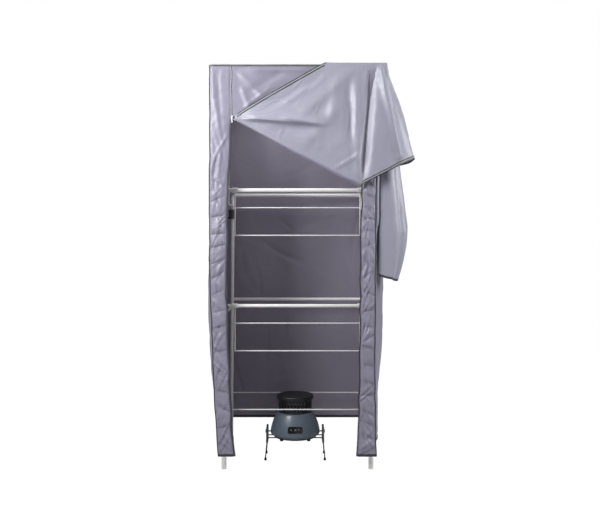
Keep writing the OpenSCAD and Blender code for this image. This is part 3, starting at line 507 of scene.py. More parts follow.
def side_out(u, v):
    """How far a side bellies out, over its depth u and its height v."""
    v = np.clip(v, 0, 1)
    return hill(u) * (BELLY * np.sin(np.pi * (1 - v) ** 0.8) ** 2
                      + FOLD * np.sin(2 * np.pi * (1.5 * u + 0.8 * v)) * hill(v))


def eased(at, values, soft):
    """A function through these values whose corners are rounded over that much of the way."""
    at, values = np.asarray(at, float), np.asarray(values, float)
    span = at[-1] - at[0]
    t = np.linspace(-0.1, 1.1, 1201)
    share = (at - at[0]) / span
    first = (values[1] - values[0]) / (share[1] - share[0])
    last = (values[-1] - values[-2]) / (share[-1] - share[-2])
    line = np.interp(t, share, values) + np.minimum(t, 0) * first + np.maximum(t - 1, 0) * last
    kernel = np.exp(-0.5 * (np.arange(-60, 61) * 0.001 * span / soft) ** 2)
    line = np.convolve(line, kernel / kernel.sum(), mode="same")
    return lambda x: np.interp((x - at[0]) / span, t, line)


# How far each front corner is drawn in, and how far each open zip edge bows outwards, by height
CORNER_IN = {
    -1: eased((64, 295, 560, 780, 1150, 1650), (8, 5, 6, 0, 0, 0), 40),
    1: eased((64, 200, 295, 500, 740, 1150, 1350, 1650), (10, 22, 27, 36, 40, 38, 22, 0), 40),
}
ZIP_OUT = {
    -1: eased((64, 133, 295, 558, 781, 1150, 1400, 1650), (2, 7, 11, 16, 20, 13, 1, 0), 30),
    1: eased((64, 295, 498, 740, 1060, 1200, 1650), (-14, -10, -11, -12, -9, -1, 0), 30),
}


# How far each side panel bellies out beyond the part's solids, by height
SIDE_MORE = {
    -1: eased((120, 360, 480, 620, 800, 1000, 1650), (5, 22, 27, 27, 13, 1, 0), 50),
    1: eased((120, 300, 480, 620, 900, 1200, 1650), (8, 14, 22, 18, 6, 0, 0), 50),
}
# How far the cloth of each flap stops short of the zip line, how far apart its tucks are, and
# the heights between which they fade in, from above
FLAP_STOP = {-1: 8.0, 1: 5.5}
TUCK_PITCH = {-1: 78, 1: 58}
TUCK_FROM = {-1: (1320, 980), 1: (1500, 1180)}


def front_corner_x(z, sx):
    return corner_x(z) - CORNER_IN[sx](z)


def side_panel(sx, seed):
    u, v = grid(72, 230)
    z = REAR_HEM + (WALL_TOP - REAR_HEM) * v
    y = corner_y(z) * (2 * u - 1)
    s, t = u * D, z
    out = side_out(u, v)
    calm = smooth(0, 0.08, u) * smooth(0, 0.08, 1 - u) * smooth(0, 0.03, 1 - v)
    soft = 4.0 * value_noise(s, t * 0.45, seed, 95) + 2.0 * value_noise(s, t * 0.7, seed + 1, 38)
    pinch = creases(s, t, seed + 2, 60, (20, D - 20, REAR_HEM, 1500), (80, 240), (7, 18), (1.6, 4.6),
                    (62, 80, 100, 118, 35, -35), 0.45)
    hem = 5 * value_noise(s, t * 0, seed + 3, 90) * (1 - smooth(0.0, 0.16, v))
    out = out + calm * (soft + pinch) + hem * smooth(0, 0.1, u) * smooth(0, 0.1, 1 - u)
    # the cloth turns the corner sharply where the clamps and the roof posts hold it out
    turn = np.clip(u, 0, 1) ** (0.5 - 0.25 * smooth(960, 1030, z))
    x = front_corner_x(z, sx) * (1 - turn) + corner_x(z) * turn + SIDE_MORE[sx](z) * hill(u)
    return np.stack([sx * (x + out), y, z], axis=2)


def back_panel(seed):
    u, v = grid(90, 190)
    z = REAR_HEM + (WALL_TOP - REAR_HEM) * v
    x = corner_x(z) * (2 * u - 1)
    s, t = u * W, z
    out = hill(u) * (BELLY / 2 * np.sin(np.pi * (1 - v)) ** 2
                     + FOLD * np.sin(2 * np.pi * (2.5 * u - 1.2 * v)) * hill(v))
    calm = smooth(0, 0.06, u) * smooth(0, 0.06, 1 - u) * smooth(0, 0.03, 1 - v)
    soft = 3.0 * value_noise(s, t * 0.5, seed, 110) + 1.2 * value_noise(s, t * 0.7, seed + 1, 42)
    pinch = creases(s, t, seed + 2, 40, (40, W - 40, REAR_HEM, 1550), (110, 300), (10, 24), (1.0, 3.0),
                    (70, 85, 95, 110, 30, -30, 150), 0.45)
    return np.stack([x, corner_y(z) + out + calm * (soft + pinch), z], axis=2)


def gathers(u, z, seed, pitch, height):
    """Pillows between tucks that cross a flap, each tuck at its own slant."""
    rng = np.random.RandomState(seed)
    ups = np.cumsum(rng.uniform(0.6, 1.4, 60) * pitch) + FRONT_HEM - pitch * rng.uniform(0.2, 0.8)
    out = np.zeros_like(z)
    slants = rng.uniform(-0.45, 0.45, len(ups))
    sizes = rng.uniform(0.35, 1.0, len(ups)) * height
    for a, b, sa, sb, h in zip(ups[:-1], ups[1:], slants[:-1], slants[1:], sizes):
        low, high = a + sa * FLAP_W * (u - 0.5), b + sb * FLAP_W * (u - 0.5)
        p = np.clip((z - low) / np.maximum(high - low, 8), 0, 1)
        # full near its foot and thin towards its top, so that each tuck casts a line
        out = np.maximum(out, h * np.sin(np.pi * p ** 0.62) ** 0.8 * ((z > low) & (z < high)))
    return out


def front_flap(sx, seed):
    """A narrow flap between the corner and the zip, gathered all down its length."""
    u, v = grid(34, 560)
    z = FRONT_HEM + (WALL_TOP - FRONT_HEM) * v
    inner = zip_x(z) + ZIP_OUT[sx](z) + FLAP_STOP[sx]
    x = (front_corner_x(z, sx) + HALF_T) * (1 - u) + inner * u
    s, t = u * FLAP_W, z
    calm = smooth(0, 0.14, u) * smooth(0, 0.10, 1 - u) * smooth(0, 0.02, 1 - v)
    low = smooth(*TUCK_FROM[sx], t)
    swell = 0.6 + 0.4 * value_noise(t * 0.9, t * 0, seed + 5, 90)
    puff = (6.0 - 2.5 * low) * np.sin(np.pi * u) ** 0.8 * swell
    full = np.sin(np.pi * np.clip(u, 0, 1)) ** 0.5
    tucks = low * gathers(u, z, seed + 12, TUCK_PITCH[sx], 7.5) * full
    cross = low * creases(s, t, seed + 1, 46, (5, 85, FRONT_HEM, 1250), (50, 130), (6, 13), (2.0, 5.0),
                          (38, -38, 55, -55, 68, -68), 0.15)
    lengthwise = (1 - 0.6 * low) * creases(s, t, seed + 2, 11, (15, 75, 700, 1640), (240, 520), (9, 16),
                                           (2.0, 4.2), (84, 97, 80, 90), 0.2)
    fine = value_noise(s, t, seed + 3, 22) + 0.5 * low * value_noise(s, t, seed + 4, 9)
    out = calm * (puff + tucks + cross + lengthwise + fine)
    wave = 2.4 * value_noise(t, t * 0, seed + 7, 60) * u + 1.6 * value_noise(t, t * 0, seed + 8, 44) * (1 - u)
    return np.stack([sx * (x + wave * calm.max(axis=1, keepdims=True)), -corner_y(z) - out, z], axis=2)


CLOTH = [cloth_out, cloth_inner_shaded]


def hang(name, patches, node, mats=CLOTH):
    """A cloth piece that takes the place of a CAD solid and rides on the cabinet."""
    obj = cloth_object(name, patches, mats)
    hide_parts(node)
    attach(obj, "cabinet")
    return obj


def trim(obj, node=None):
    """A narrow piece sewn to the cover."""
    if node:
        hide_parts(node)
    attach(obj, "cabinet")
    return obj


side_l, side_r = side_panel(-1, 11), side_panel(1, 23)
back = back_panel(37)
flap_l, flap_r = front_flap(-1, 41), front_flap(1, 67)
side_panel_left = hang("side_panel_left", [Patch(side_l, flip=True)], "cover_left")
side_panel_right = hang("side_panel_right", [Patch(side_r)], "cover_right")
rear_panel = hang("rear_panel", [Patch(back, flip=True)], "cover_back")
flap_left = hang("flap_left", [Patch(flap_l)], "front_flap_left")
flap_right = hang("flap_right", [Patch(flap_r, flip=True)], "front_flap_right")


# ---- the roof ----

ROOF_R, ROOF_SAG = 14.0, 7.0
ROOF_X, ROOF_Y = HALF_W - 0.6, HALF_D - 0.6
POST_X, POST_Y = HALF_W - 33, HALF_D - 30


def roof_sheet(seed):
    """The roof lies on the rails and hubs, and sags a little between them."""
    u, v = grid(120, 84)
    x, y = (2 * u - 1) * ROOF_X, (2 * v - 1) * ROOF_Y
    cx, cy = np.sign(x) * (ROOF_X - ROOF_R), np.sign(y) * (ROOF_Y - ROOF_R)
    dx, dy = x - cx, y - cy
    corner = (np.abs(x) > np.abs(cx)) & (np.abs(y) > np.abs(cy))
    far = np.maximum(np.hypot(dx, dy), 1e-6)
    # the square grid's corners are drawn in onto the roof's rounded ones
    pull = np.where(corner & (far > 1e-3), np.maximum(np.abs(dx), np.abs(dy)) / far, 1.0)
    x, y = np.where(corner, cx + dx * pull, x), np.where(corner, cy + dy * pull, y)
    inside = smooth(0, 60, POST_X - 6 - np.abs(x)) * smooth(0, 60, POST_Y - 6 - np.abs(y))
    sag = ROOF_SAG * inside * (0.6 + 0.4 * hill(u) * hill(v))
    soft = inside * (1.6 * value_noise(x, y, seed, 80)
                     + creases(x, y, seed + 1, 16, (-280, 280, -160, 160), (80, 220), (8, 18), (0.6, 1.8),
                               (20, -20, 70, 110), 0.4))
    return np.stack([x, y, H - SKIN - sag + np.minimum(soft, 0.6 * sag)], axis=2)


roof = hang("roof_panel", [Patch(roof_sheet(5))], "cover_roof", [cloth_roof, cloth_inner_shaded])


# ---- the door: its closed part, the part folded over it, its lap on the roof and its tail ----

WRAP = PIPING_D + 2 * SEAT + HALF_T
WRAP_Y = -HALF_D - WRAP
RIGHT_X = HALF_W + WRAP
PIPING_Z = WALL_TOP + SEAT + PIPING_D / 2
LAP_Z = PIPING_Z + PIPING_D / 2 + SEAT + HALF_T
DOOR_SIDE = ZIP_X - SEAT
ROOF_LEFT_X = ZIP_X - 159
LAP_BACK_Y = FRONT_Y + 165
TIP_X = ZIP_X - 8
FAR_X = HALF_W + 130
# the shares of the way where the rolled edge ends and where the top reaches the roof
TIP_SHARE, LAP_SHARE = 0.66, 0.44
DOOR_WIDE, DOOR_TALL = 840, 420
DOOR_PATH = [
    # share of the way; x, y and drop from LAP_Z of the top; the same of the bottom;
    # the way that the cloth faces, in degrees from the front towards the right side
    (0.00, (-DOOR_SIDE + 12, WRAP_Y + 2, 211), (-DOOR_SIDE + 12, WRAP_Y + 2, 221), 0),
    (0.14, (-DOOR_SIDE + 115, WRAP_Y, 146), (-DOOR_SIDE + 115, WRAP_Y, 279), 0),
    (0.30, (-20, WRAP_Y, 71), (-10, WRAP_Y - 5, 353), 0),
    (0.44, (ROOF_LEFT_X, WRAP_Y, 0), (ROOF_LEFT_X - 6, WRAP_Y - 9, 409), 0),
    (0.56, (TIP_X - 47, WRAP_Y, 0), (TIP_X - 67, FRONT_Y - FOLD_GAP, 457), 0),
    (0.66, (RIGHT_X - 71, WRAP_Y, 0), (TIP_X, FRONT_Y - FOLD_GAP, 488), 0),
    (0.73, (RIGHT_X - 27, WRAP_Y, 0), (RIGHT_X - 31, FRONT_Y - FOLD_GAP - 8, 449), 15),
    (0.77, (RIGHT_X - 3, WRAP_Y, 0), (RIGHT_X + 9, FRONT_Y - FOLD_GAP - 2, 429), 35),
    (0.82, (RIGHT_X, WRAP_Y + 3, 0), (RIGHT_X + 49, FRONT_Y - 12, 405), 50),
    (0.89, (RIGHT_X, FRONT_Y + 60, 0), (FAR_X, FRONT_Y + 50, 374), 78),
    (0.95, (RIGHT_X, FRONT_Y + 115, 0), (FAR_X - 16, FRONT_Y + 125, 387), 95),
    (1.00, (RIGHT_X, LAP_BACK_Y, 0), (RIGHT_X + 50, LAP_BACK_Y + 25, 396), 115),
]


SHARES = [s[0] for s in DOOR_PATH]
top_lane = [eased(SHARES, [s[1][c] for s in DOOR_PATH], soft) for c, soft in enumerate((0.010, 0.010, 0.006))]
low_lane = [eased(SHARES, [s[2][c] for s in DOOR_PATH], soft) for c, soft in enumerate((0.008, 0.008, 0.005))]
bearing = eased(SHARES, [s[3] for s in DOOR_PATH], 0.02)


def lane_point(lane, u):
    return np.stack([lane[0](u), lane[1](u), LAP_Z - lane[2](u)], axis=-1)


def facing(u):
    a = np.radians(bearing(u))
    return np.stack([np.sin(a), -np.cos(a), 0 * a], axis=-1)


def fold_line(x, z, start, end, width, height, below):
    """One long fold across the front, from start to end (x, z), with a width of its own below it."""
    (ax, az), (bx, bz) = start, end
    run = math.hypot(bx - ax, bz - az)
    ex, ez = (bx - ax) / run, (bz - az) / run
    ds = ((x - ax) * ex + (z - az) * ez) / run
    dn = (z - az) * ex - (x - ax) * ez
    body = smooth(-0.12, 0.2, ds) * smooth(1.15, 0.75, ds)
    q = dn / np.where(dn > 0, width, below)
    return height * body * np.exp(-q * q)


# Folds that the photograph shows on the thrown-back part: start, end, width, height, width below
DOOR_FOLDS = [
    ((-222, 1434), (96, 1410), 34, 16.0, 8),
    ((-60, 1436), (100, 1402), 14, 6.0, 8),
    ((303, 1645), (262, 1185), 18, -17.0, 11),
    ((238, 1590), (246, 1180), 13, 7.0, 20),
    ((205, 1600), (216, 1330), 18, -6.0, 22),
    ((160, 1600), (136, 1400), 22, 6.0, 22),
    ((110, 1612), (-140, 1462), 14, -5.0, 20),
    ((225, 1630), (10, 1440), 20, 7.0, 26),
    ((180, 1500), (10, 1310), 24, 6.0, 34),
    ((90, 1380), (-100, 1400), 18, -6.0, 18),
    ((40, 1560), (-60, 1490), 12, 4.0, 9),
    ((250, 1290), (150, 1230), 12, 4.0, 8),
]


def crest(u, v, at, lean, width):
    """A fold that runs up beside the front right corner and leans as it goes."""
    return np.exp(-((u - at + lean * v) / width) ** 2)


def over_point(u, v):
    """The part folded over, from its free left end round the front right corner."""
    seed = 83
    low, high = lane_point(low_lane, u), lane_point(top_lane, u)
    p = low + (high - low) * v[..., None]
    x, z = p[..., 0], p[..., 2]
    front = smooth(0.80, 0.70, u)
    puff = 9 * np.minimum(1, 3 * u) * hill(v)
    flat = sum(fold_line(x, z, *f) for f in DOOR_FOLDS) * front
    ridge = 13 * crest(u, v, 0.828, 0.105, 0.017) * smooth(0.0, 0.12, v + 0.03)
    gutter = -5 * crest(u, v, 0.872, 0.07, 0.016)
    late = 4 * crest(u, v, 0.93, 0.05, 0.018)
    s, t = u * DOOR_WIDE, v * DOOR_TALL
    fine = 1.4 * value_noise(s, t, seed, 58) + 0.7 * value_noise(s, t, seed + 1, 24)
    pinch = creases(s, t, seed + 2, 22, (40, 800, 20, 400), (60, 170), (6, 15), (0.8, 2.0),
                    (38, 60, -30, 100, 80, 15), 0.45)
    ends = smooth(0, 0.07, 1 - v) * (0.35 + 0.65 * smooth(0, 0.08, v)) * smooth(0.0, 0.10, u)
    relief = ends * (flat + ridge + gutter + late + fine + pinch)
    # near the roof the cloth lies on the piping, so no crease goes in
    relief = np.maximum(relief, -0.6 - 30 * smooth(0.96, 0.80, v))
    return p + facing(u) * (puff + relief)[..., None]


# Folds of the closed part, listed in the same way
SHUT_FOLDS = [
    ((-240, 1620), (-120, 1500), 16, 5, 10),
    ((-225, 1560), (-190, 1460), 12, 4, 10),
    ((-190, 1632), (60, 1634), 9, 4.5, 12),
    ((-60, 1625), (-200, 1540), 14, -4, 18),
    ((-110, 1560), (-215, 1480), 9, 3.5, 7),
]


def shut_point(u, v):
    """The closed part, from the roof down to the rolled edge."""
    x = DOOR_SIDE * (2 * u - 1)
    low = FOLD_L + (FOLD_R - FOLD_L) * u
    z = low + (WALL_TOP - low) * v
    calm = smooth(0, 0.04, u) * smooth(0, 0.04, 1 - u) * smooth(0, 0.06, v) * smooth(0, 0.05, 1 - v)
    out = 2.2 * value_noise(x, z, 97, 60)
    for fold in SHUT_FOLDS:
        out = out + fold_line(x, z, *fold)
    return np.stack([x, FRONT_Y - calm * out, z], axis=-1)


def roll_point(u, v):
    """The rolled edge between the closed part and the part folded over it."""
    shut = np.stack([DOOR_SIDE * (2 * u - 1), FRONT_Y + 0 * u, FOLD_L + (FOLD_R - FOLD_L) * u], axis=-1)
    over = lane_point(low_lane, TIP_SHARE * u)
    lean = math.atan2(FOLD_L - FOLD_R, 2 * DOOR_SIDE)
    down = np.array([-math.sin(lean), 0, -math.cos(lean)])
    middle, arm = (shut + over) / 2, (shut - over) / 2
    reach = np.linalg.norm(arm, axis=-1) * 0.75
    a = (np.pi * v)[..., None]
    return middle + arm * np.cos(a) + down * reach[..., None] * np.sin(a)


# how tightly the lap turns over the roof's edge, and the share of the lap that the turn takes
LAP_R, ROLL_SHARE = 4.0, 0.12
LAP_START = LAP_SHARE + 0.012


def lap_point(s, t):
    """From the roof's front and right edges (s along them) back to the zip edge that crosses the roof."""
    u = LAP_START + (1 - LAP_START) * s
    edge = lane_point(top_lane, u)
    inward = -facing(u)
    ends = np.stack([ROOF_LEFT_X + (RIGHT_X - ROOF_LEFT_X) * s,
                     WRAP_Y + (LAP_BACK_Y - WRAP_Y) * s, LAP_Z + 0 * s], axis=-1)
    a = np.minimum(t / ROLL_SHARE, 1) * np.pi / 2
    rise = (LAP_R * np.sin(a))[..., None]
    rolled = edge + inward * (LAP_R * (1 - np.cos(a)))[..., None] + np.array([0, 0, 1]) * rise
    share = np.clip((t - ROLL_SHARE) / (1 - ROLL_SHARE), 0, 1)[..., None]
    rest = rolled * (1 - share) + (ends + [0, 0, LAP_R * 0.2]) * share
    puff = 3.0 * np.sin(np.pi * share) * (0.6 + 0.4 * value_noise(rest[..., :1], rest[..., 1:2], 7, 40))
    return rest + np.array([0, 0, 1]) * puff


TAIL_DROP, TAIL_TOP = 876, H - 34
TAIL_FRONT, TAIL_DEEP, TAIL_WIDE = 20, 120, 320
TAIL_PATH = [
    # share of the way, distances out from the side and back from the front, drop of the hem
    (0.00, 4, 14, TAIL_DROP - 26),
    (0.20, 36, 6, TAIL_DROP - 12),
    (0.45, 78, 40, TAIL_DROP),
    (0.65, 88, 96, TAIL_DROP - 32),
    (0.85, 50, 150, TAIL_DROP - 68),
    (1.00, 4, 176, TAIL_DROP - 96),
]
tail_out, tail_back, tail_hem = [eased([s[0] for s in TAIL_PATH], [s[k] for s in TAIL_PATH], 0.03)
                                 for k in (1, 2, 3)]


def tail_point(u, v):
    """The door's end, which hangs down the right side from the roof's edge."""
    seed = 131
    z = (H - tail_hem(u)) + (TAIL_TOP - H + tail_hem(u)) * v
    top_y = TAIL_FRONT + TAIL_DEEP * u
    y = top_y + (tail_back(u) - top_y) * np.minimum(1, 2 * (1 - v))
    spread = np.minimum(1, 0.05 + 1.25 * (1 - v)) * (1 - 0.45 * (np.maximum(0, 0.25 - v) / 0.25) ** 2)
    panel = side_out(y / D, (z - REAR_HEM) / (WALL_TOP - REAR_HEM))
    broad = 8 * np.sin(2 * np.pi * (2.0 * u + 0.25 * v))
    narrow = 5.5 * np.sin(2 * np.pi * (4.6 * u - 0.4 * v) + 1)
    lines = (broad + narrow) * hill(u)
    soft = 2.0 * value_noise(u * TAIL_WIDE, z * 0.6, seed, 60)
    pinch = creases(u * TAIL_WIDE, z, seed + 1, 14, (30, 290, 800, 1500), (80, 260), (6, 14), (1.2, 3.0),
                    (84, 95, 76, 60), 0.5)
    ends = smooth(0, 0.10, 1 - v) * smooth(0, 0.06, u) * smooth(0, 0.06, 1 - u)
    side = np.minimum(1, 0.15 + 1.4 * (1 - v))
    bulge = ends * side * (0.8 * lines + soft + pinch)
    # the front edge hangs in beside the drawn-in corner
    tuck = (30 + 7 * smooth(1040, 960, z)) * smooth(0.35, 0.0, u) * smooth(1.0, 0.75, v)
    off = 9 - 5 * smooth(0.88, 1.0, v)
    return np.stack([HALF_W + panel + off - tuck + tail_out(u) * spread + bulge, FRONT_Y + y, z], axis=-1)


over_uv, shut_uv, roll_uv = grid(300, 120), grid(120, 80), grid(140, 12)
lap_uv, tail_uv = grid(110, 22), grid(70, 150)
over, shut = over_point(*over_uv), shut_point(*shut_uv)
roll, lap, tail = roll_point(*roll_uv), lap_point(*lap_uv), tail_point(*tail_uv)
door = hang("door_cloth", [
    Patch(over), Patch(shut, flip=True), Patch(roll, flip=True), Patch(lap), Patch(tail),
], "door_panel", [cloth_in, cloth_out])


# ---- edges of the cloth: bindings, zip tapes, teeth, stitching and a painted seam shadow ----

def at_depth(p, d):
    """Points of a grid at that arc length in from its first row."""
    steps = np.linalg.norm(np.diff(p, axis=0), axis=2)
    run = np.concatenate([np.zeros((1, p.shape[1])), np.cumsum(steps, axis=0)])
    if d <= 0:
        way = p[1] - p[0]
        return p[0] + d * way / np.maximum(np.linalg.norm(way, axis=1, keepdims=True), 1e-9)
    return np.stack([[np.interp(d, run[:, i], p[:, i, c]) for i in range(p.shape[1])]
                     for c in range(3)], axis=1)


def edge_band(p, n, a, b, lift=0.0, half_t=1.3, kinds=(0, 0)):
    """A strip along the grid's first row, from a to b inside it, lifted off the cloth by that much."""
    rows = [at_depth(p, d) + n[0] * lift for d in np.linspace(a, b, 4)]
    return Patch(np.stack(rows), skin=half_t, kinds=kinds)


def edge_beads(p, n, depth, step, size, lift=0.0, across=True):
    """Spots for beads along the grid's first row: teeth lie across it and stitches along it."""
    line = at_depth(p, depth) + n[0] * lift
    way = at_depth(p, depth + 3) - at_depth(p, depth)
    at, run = spots_along(line, step)
    spots = []
    for field in (line, way, n[0]):
        spots.append(np.stack([np.interp(at, run, field[:, c]) for c in range(3)], axis=1))
    middle, way, up = spots
    way /= np.linalg.norm(way, axis=1, keepdims=True)
    up /= np.linalg.norm(up, axis=1, keepdims=True)
    run_way = np.cross(up, way)
    long_axis, wide_axis = (way, run_way) if across else (run_way, way)
    return np.stack([middle, long_axis * size[0], wide_axis * size[1], up * size[2]], axis=1)


def columns(p, n, first, last):
    """The part of a grid between two shares of its columns, with its normals."""
    k = p.shape[1] - 1
    pick = slice(int(round(first * k)), int(round(last * k)) + 1)
    return p[:, pick], n[:, pick]


def turned(p, n):
    """The grid with its last column as its first row."""
    return np.swapaxes(p, 0, 1)[::-1], np.swapaxes(n, 0, 1)[::-1]


# Half sizes of a tooth and a stitch (long, wide, high), and how far apart they are
TOOTH, TOOTH_STEP = (1.9, 0.75, 0.9), 2.4
STITCH, STITCH_STEP = (1.15, 0.32, 0.28), 3.6
PIPE_R, PIPE_OUT = 1.9, 0.8
# From a little outside the edge to how far inside it a binding goes, and where its seam is
HEM_LIP, HEM_WIDE, HEM_SEAM = -0.9, 10.5, 9.0
TAIL_HEM_WIDE, TAIL_HEM_SEAM, SEAM_LIFT = 8.5, 7.4, 1.55
DARK, PALE = (0, 0), (1, 1)
# The bands of the door's zip edges: from and to inside the edge, lift, half the thickness, looks; the middle,
# dark band is a painted shadow along the tape's seam
ZIP_BANDS = ((0.6, 7.4, 0.9, 0.6, PALE), (7.2, 10.6, 0.9, 0.8, DARK), (-1.4, 1.2, 0.3, 1.2, DARK))
stitches = []


def sew(p, n, depth, lift):
    stitches.append(edge_beads(p, n, depth, STITCH_STEP, STITCH, lift, across=False))


# bindings round the hems
bound = []
for p, out in ((side_l, -1), (side_r, 1), (back, -1), (flap_l, 1), (flap_r, -1)):
    n = normals_of(p) * out
    bound.append(edge_band(p, n, HEM_LIP, HEM_WIDE))
    sew(p, n, HEM_SEAM, SEAM_LIFT)
tail_n, over_n = normals_of(tail), normals_of(over)
bound.append(edge_band(tail, tail_n, HEM_LIP, TAIL_HEM_WIDE))
sew(tail, tail_n, TAIL_HEM_SEAM, SEAM_LIFT)
trim(cloth_object("hem_bindings", bound, [binding_m]))

# piping down the four corners
for name, sx, sy, low in (("front_left", -1, -1, FRONT_HEM), ("front_right", 1, -1, FRONT_HEM),
                          ("rear_left", -1, 1, REAR_HEM), ("rear_right", 1, 1, REAR_HEM)):
    if sy < 0:
        edge = (flap_l if sx < 0 else flap_r)[:, 0]
        line = edge[::4] + np.array([sx * PIPE_OUT, -PIPE_OUT, 0])
    else:
        z = np.linspace(low, WALL_TOP, 90)
        line = np.stack([sx * (corner_x(z) + PIPE_OUT), corner_y(z) + PIPE_OUT, z], axis=1)
    trim(tube("corner_piping_" + name, line, PIPE_R, [binding_m], sides=8))

# the two long zips: a tape from each flap's inner edge, with its teeth along the zip line
FLAPS = {-1: flap_l, 1: flap_r}
TAPE_SKIN, TAPE_IN = 0.7, 0.5
SLIDER_Z = {-1: FOLD_L + 2, 1: FOLD_R + 14}
for side, sx in (("left", -1), ("right", 1)):
    edge = FLAPS[sx][:, -1]
    z = edge[:, 2]
    shut_at = int(np.searchsorted(z, SLIDER_Z[sx] + 4))
    inward = np.array([-sx, 0, 0.0])
    reach = FLAP_STOP[sx] - 0.6
    strip = np.stack([edge + inward * d + np.array([0, TAPE_IN, 0])
                      for d in np.linspace(reach - TAPE_W, reach, 6)])
    strip_n = np.broadcast_to(np.array([0, -1.0, 0]), strip.shape)
    tape = cloth_object("zip_tape_" + side, [
        Patch(strip[:, :shut_at + 1], skin=TAPE_SKIN, kinds=DARK),
        Patch(strip[:, shut_at:], skin=TAPE_SKIN, kinds=PALE),
    ], [tape_m, pale_tape_m])
    trim(tape, node="zip_tape_" + side)
    teeth = edge_beads(strip[::-1], strip_n, -0.4, TOOTH_STEP, TOOTH, 0.9)
    trim(beads("zip_teeth_" + side, teeth, [teeth_m]))
    flap_p = np.swapaxes(FLAPS[sx], 0, 1)[::-1]
    sew(flap_p, normals_of(flap_p) * -sx, 2.6, 0.8)

# the door's own zip edges, thrown back with it, and the tail's rear edge
top_p, top_n = columns(over[::-1], over_n[::-1], 0.012, LAP_SHARE + 0.002)
low_p, low_n = columns(over, over_n, TIP_SHARE, 1.0)
rear_p, rear_n = turned(tail, tail_n)
door_bands, door_teeth = [], []
for p, n in ((top_p, top_n), (low_p, low_n), (rear_p, rear_n)):
    door_bands += [edge_band(p, n, *band) for band in ZIP_BANDS]
    door_teeth.append(edge_beads(p, n, -2.0, TOOTH_STEP, TOOTH, 0.7))
    sew(p, n, 6.0, 1.65)
# the dark middle band of these tapes is painted shade along the seam
door_tapes_and_seam_shade = trim(cloth_object("door_zip_tapes_and_seam_shade", door_bands, [binding_m, pale_tape_m]))
door_coil = trim(beads("door_zip_teeth", np.concatenate(door_teeth), [teeth_m]))
trim(beads("stitching", np.concatenate(stitches), [thread_m]))

# piping round the roof
bend = ROOF_R + SEAT + PIPING_D / 2
ring = []
for k, (sx, sy) in enumerate(((1, 1), (-1, 1), (-1, -1), (1, -1))):
    mid_x, mid_y = sx * (HALF_W - ROOF_R), sy * (HALF_D - ROOF_R)
    for a in np.radians(np.linspace(0, 90, 9)) + k * math.pi / 2:
        ring.append((mid_x + bend * math.cos(a), mid_y + bend * math.sin(a), PIPING_Z))
ring = resample(ring + ring[:1], 9)
ring[:, 2] += 0.5 * value_noise(ring[:, 0], ring[:, 1], 3, 50)
trim(tube("roof_edge_piping", ring, PIPING_D / 2 - 0.15, [cord_m], closed=True), node="roof_piping")


# ---- marks on the heater's keys: a ring with a bar, a clock and warm air ----

# the heater's middle, its foot's height, and the window's height above that foot
HEATER_X, HEATER_Z, WINDOW_AT = -10.0, 96.0, 44.0
SHELL_R, SHOULDER_R, SHELL_WIDE, SHOULDER_H = 107.0, 81.0, 16.0, 98.0
KEY_PITCH, KEY_OUT, MARK_R = 17.0, 2.4, 0.28


def shell_at(h):
    """The heater shell's radius at that height above its foot."""
    return SHELL_R - (SHELL_R - SHOULDER_R) * ((h - SHELL_WIDE) / (SHOULDER_H - SHELL_WIDE)) ** 1.55


TILT = math.atan((shell_at(WINDOW_AT - 6) - shell_at(WINDOW_AT + 6)) / 12)


def on_key(k, points):
    """Points drawn flat on a key's face (right, up), in the part's millimetres."""
    out = np.array([0, -math.cos(TILT), math.sin(TILT)])
    up = np.array([0, math.sin(TILT), math.cos(TILT)])
    middle = np.array([HEATER_X + k * KEY_PITCH, -shell_at(WINDOW_AT), HEATER_Z + WINDOW_AT])
    middle += out * (KEY_OUT + 0.05)
    points = np.asarray(points, float)
    return middle + np.outer(points[:, 0], [1, 0, 0]) + np.outer(points[:, 1], up)


def mark(name, k, lines):
    for i, line in enumerate(lines):
        obj = tube("mark_%s_%d" % (name, i), on_key(k, line), MARK_R, [mark_m], sides=6)
        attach(obj, "key_" + name)


def arc(r, start, end, steps=20):
    a = np.radians(np.linspace(start, end, steps))
    return np.stack([r * np.cos(a), r * np.sin(a)], axis=1)


mark("power", -1, [arc(2.3, 125, 415), [(0, 0.4), (0, 2.9)]])
mark("timer", 0, [arc(2.5, 0, 359, 26), [(0, 1.6), (0, 0), (1.2, -0.4)]])
wave_y = np.linspace(-2.2, 2.2, 14)
mark("heat", 1, [np.stack([x + 0.45 * np.sin(wave_y * 2.4), wave_y], axis=1) for x in (-1.7, 0, 1.7)])


# ---- floor, light and camera ----

FLOOR_HALF, FLOOR_COLOR, FLOOR_ROUGH = 30, (0.45, 0.45, 0.46), 0.9
# the camera sees the floor mostly as a glow, so it is white and still takes a faint shadow
FLOOR_GLOW, GLOW_SHARE = 1.09, 0.93
SKY_COLOR, SKY_LIGHT = (0.93, 0.95, 1.0), 0.17
WHITE = (1, 1, 1)


def glowing(tree, kind, color, strength):
    node = tree.nodes.new(kind)
    node.inputs["Color"].default_value = (*color, 1)
    node.inputs["Strength"].default_value = strength
    return node.outputs[0]


def show_camera(tree, lit, seen, output, share=1.0):
    """Give the camera that share of one shader, and every other ray the lit one alone."""
    path = tree.nodes.new("ShaderNodeLightPath")
    part = tree.nodes.new("ShaderNodeMath")
    part.operation = "MULTIPLY"
    part.inputs[1].default_value = share
    mix = tree.nodes.new("ShaderNodeMixShader")
    tree.links.new(path.outputs["Is Camera Ray"], part.inputs[0])
    tree.links.new(part.outputs[0], mix.inputs["Fac"])
    tree.links.new(lit, mix.inputs[1])
    tree.links.new(seen, mix.inputs[2])
    tree.links.new(mix.outputs["Shader"], tree.nodes[output].inputs["Surface"])


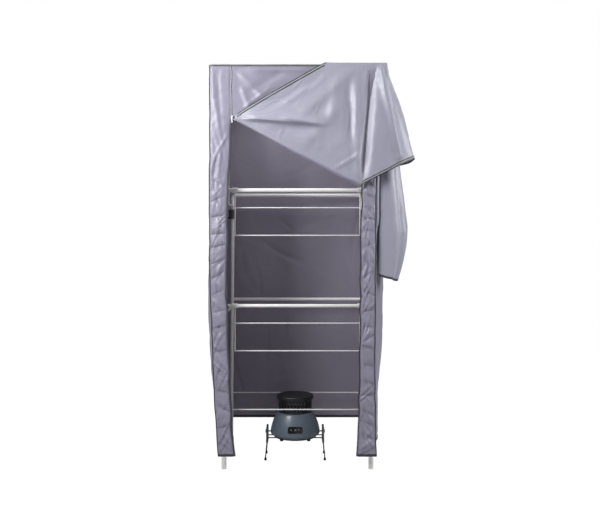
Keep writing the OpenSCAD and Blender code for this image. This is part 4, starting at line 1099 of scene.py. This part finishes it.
def studio():
    floor_m = material("floor", FLOOR_COLOR, FLOOR_ROUGH)
    tree = floor_m.node_tree
    glow = glowing(tree, "ShaderNodeEmission", WHITE, FLOOR_GLOW)
    lit = tree.nodes["Principled BSDF"].outputs["BSDF"]
    show_camera(tree, lit, glow, "Material Output", GLOW_SHARE)
    a = FLOOR_HALF
    floor = new_object("floor", [(-a, -a, 0), (a, -a, 0), (a, a, 0), (-a, a, 0)], [(0, 1, 2, 3)],
                       [floor_m], smooth_faces=False)

    world = bpy.data.worlds.new("studio")
    bpy.context.scene.world = world
    world.use_nodes = True
    tree = world.node_tree
    sky = tree.nodes["Background"]
    sky.inputs["Color"].default_value = (*SKY_COLOR, 1)
    sky.inputs["Strength"].default_value = SKY_LIGHT
    white = glowing(tree, "ShaderNodeBackground", WHITE, 1.0)
    show_camera(tree, sky.outputs["Background"], white, "World Output")


def lamp(name, at, aim, size, power):
    """A rectangular lamp, in metres and watts, turned to shine at a point."""
    light = bpy.data.lights.new(name, "AREA")
    light.shape = "RECTANGLE"
    light.size, light.size_y = size
    light.energy = power
    obj = bpy.data.objects.new(name, light)
    obj.location = at
    obj.rotation_euler = (Vector(aim) - Vector(at)).to_track_quat("-Z", "Y").to_euler()
    bpy.context.scene.collection.objects.link(obj)


studio()
# each lamp's place, what it shines at, its size and its power
lamp("key", (-1.3, -1.3, 1.95), (-0.2, -0.2, 1.45), (0.8, 1.1), 49)
lamp("side", (2.2, -0.6, 1.8), (0.35, 0.0, 1.3), (0.9, 1.4), 44)
lamp("fill", (1.2, -3.6, 0.8), (0.0, 0.0, 0.7), (2.4, 2.0), 5)
lamp("top", (0.2, 0.2, 3.6), (0.0, 0.0, 0.6), (2.4, 2.4), 22)
lamp("rear", (0.8, 3.2, 2.2), (0.0, 0.0, 0.8), (2.2, 2.0), 16)
lamp("inner", (-0.05, -0.05, 1.58), (-0.05, 0.0, 0.0), (0.4, 0.25), 1.8)

CAM_BACK, CAM_UP = 3295.0, 943.0
LENS, SENSOR, SHIFT_X, SHIFT_Y = 45.4, 36.0, 0.0042, -0.0433
camera = bpy.data.cameras.new("camera")
camera.sensor_width = SENSOR
camera.lens = LENS
camera.shift_x, camera.shift_y = SHIFT_X, SHIFT_Y
camera.clip_end = 100
eye = bpy.data.objects.new("camera", camera)
eye.location = row((0, -CAM_BACK, CAM_UP))
eye.rotation_euler = (math.pi / 2, 0, 0)
bpy.context.scene.collection.objects.link(eye)
bpy.context.scene.camera = eye
bpy.context.scene.view_settings.view_transform = "Standard"
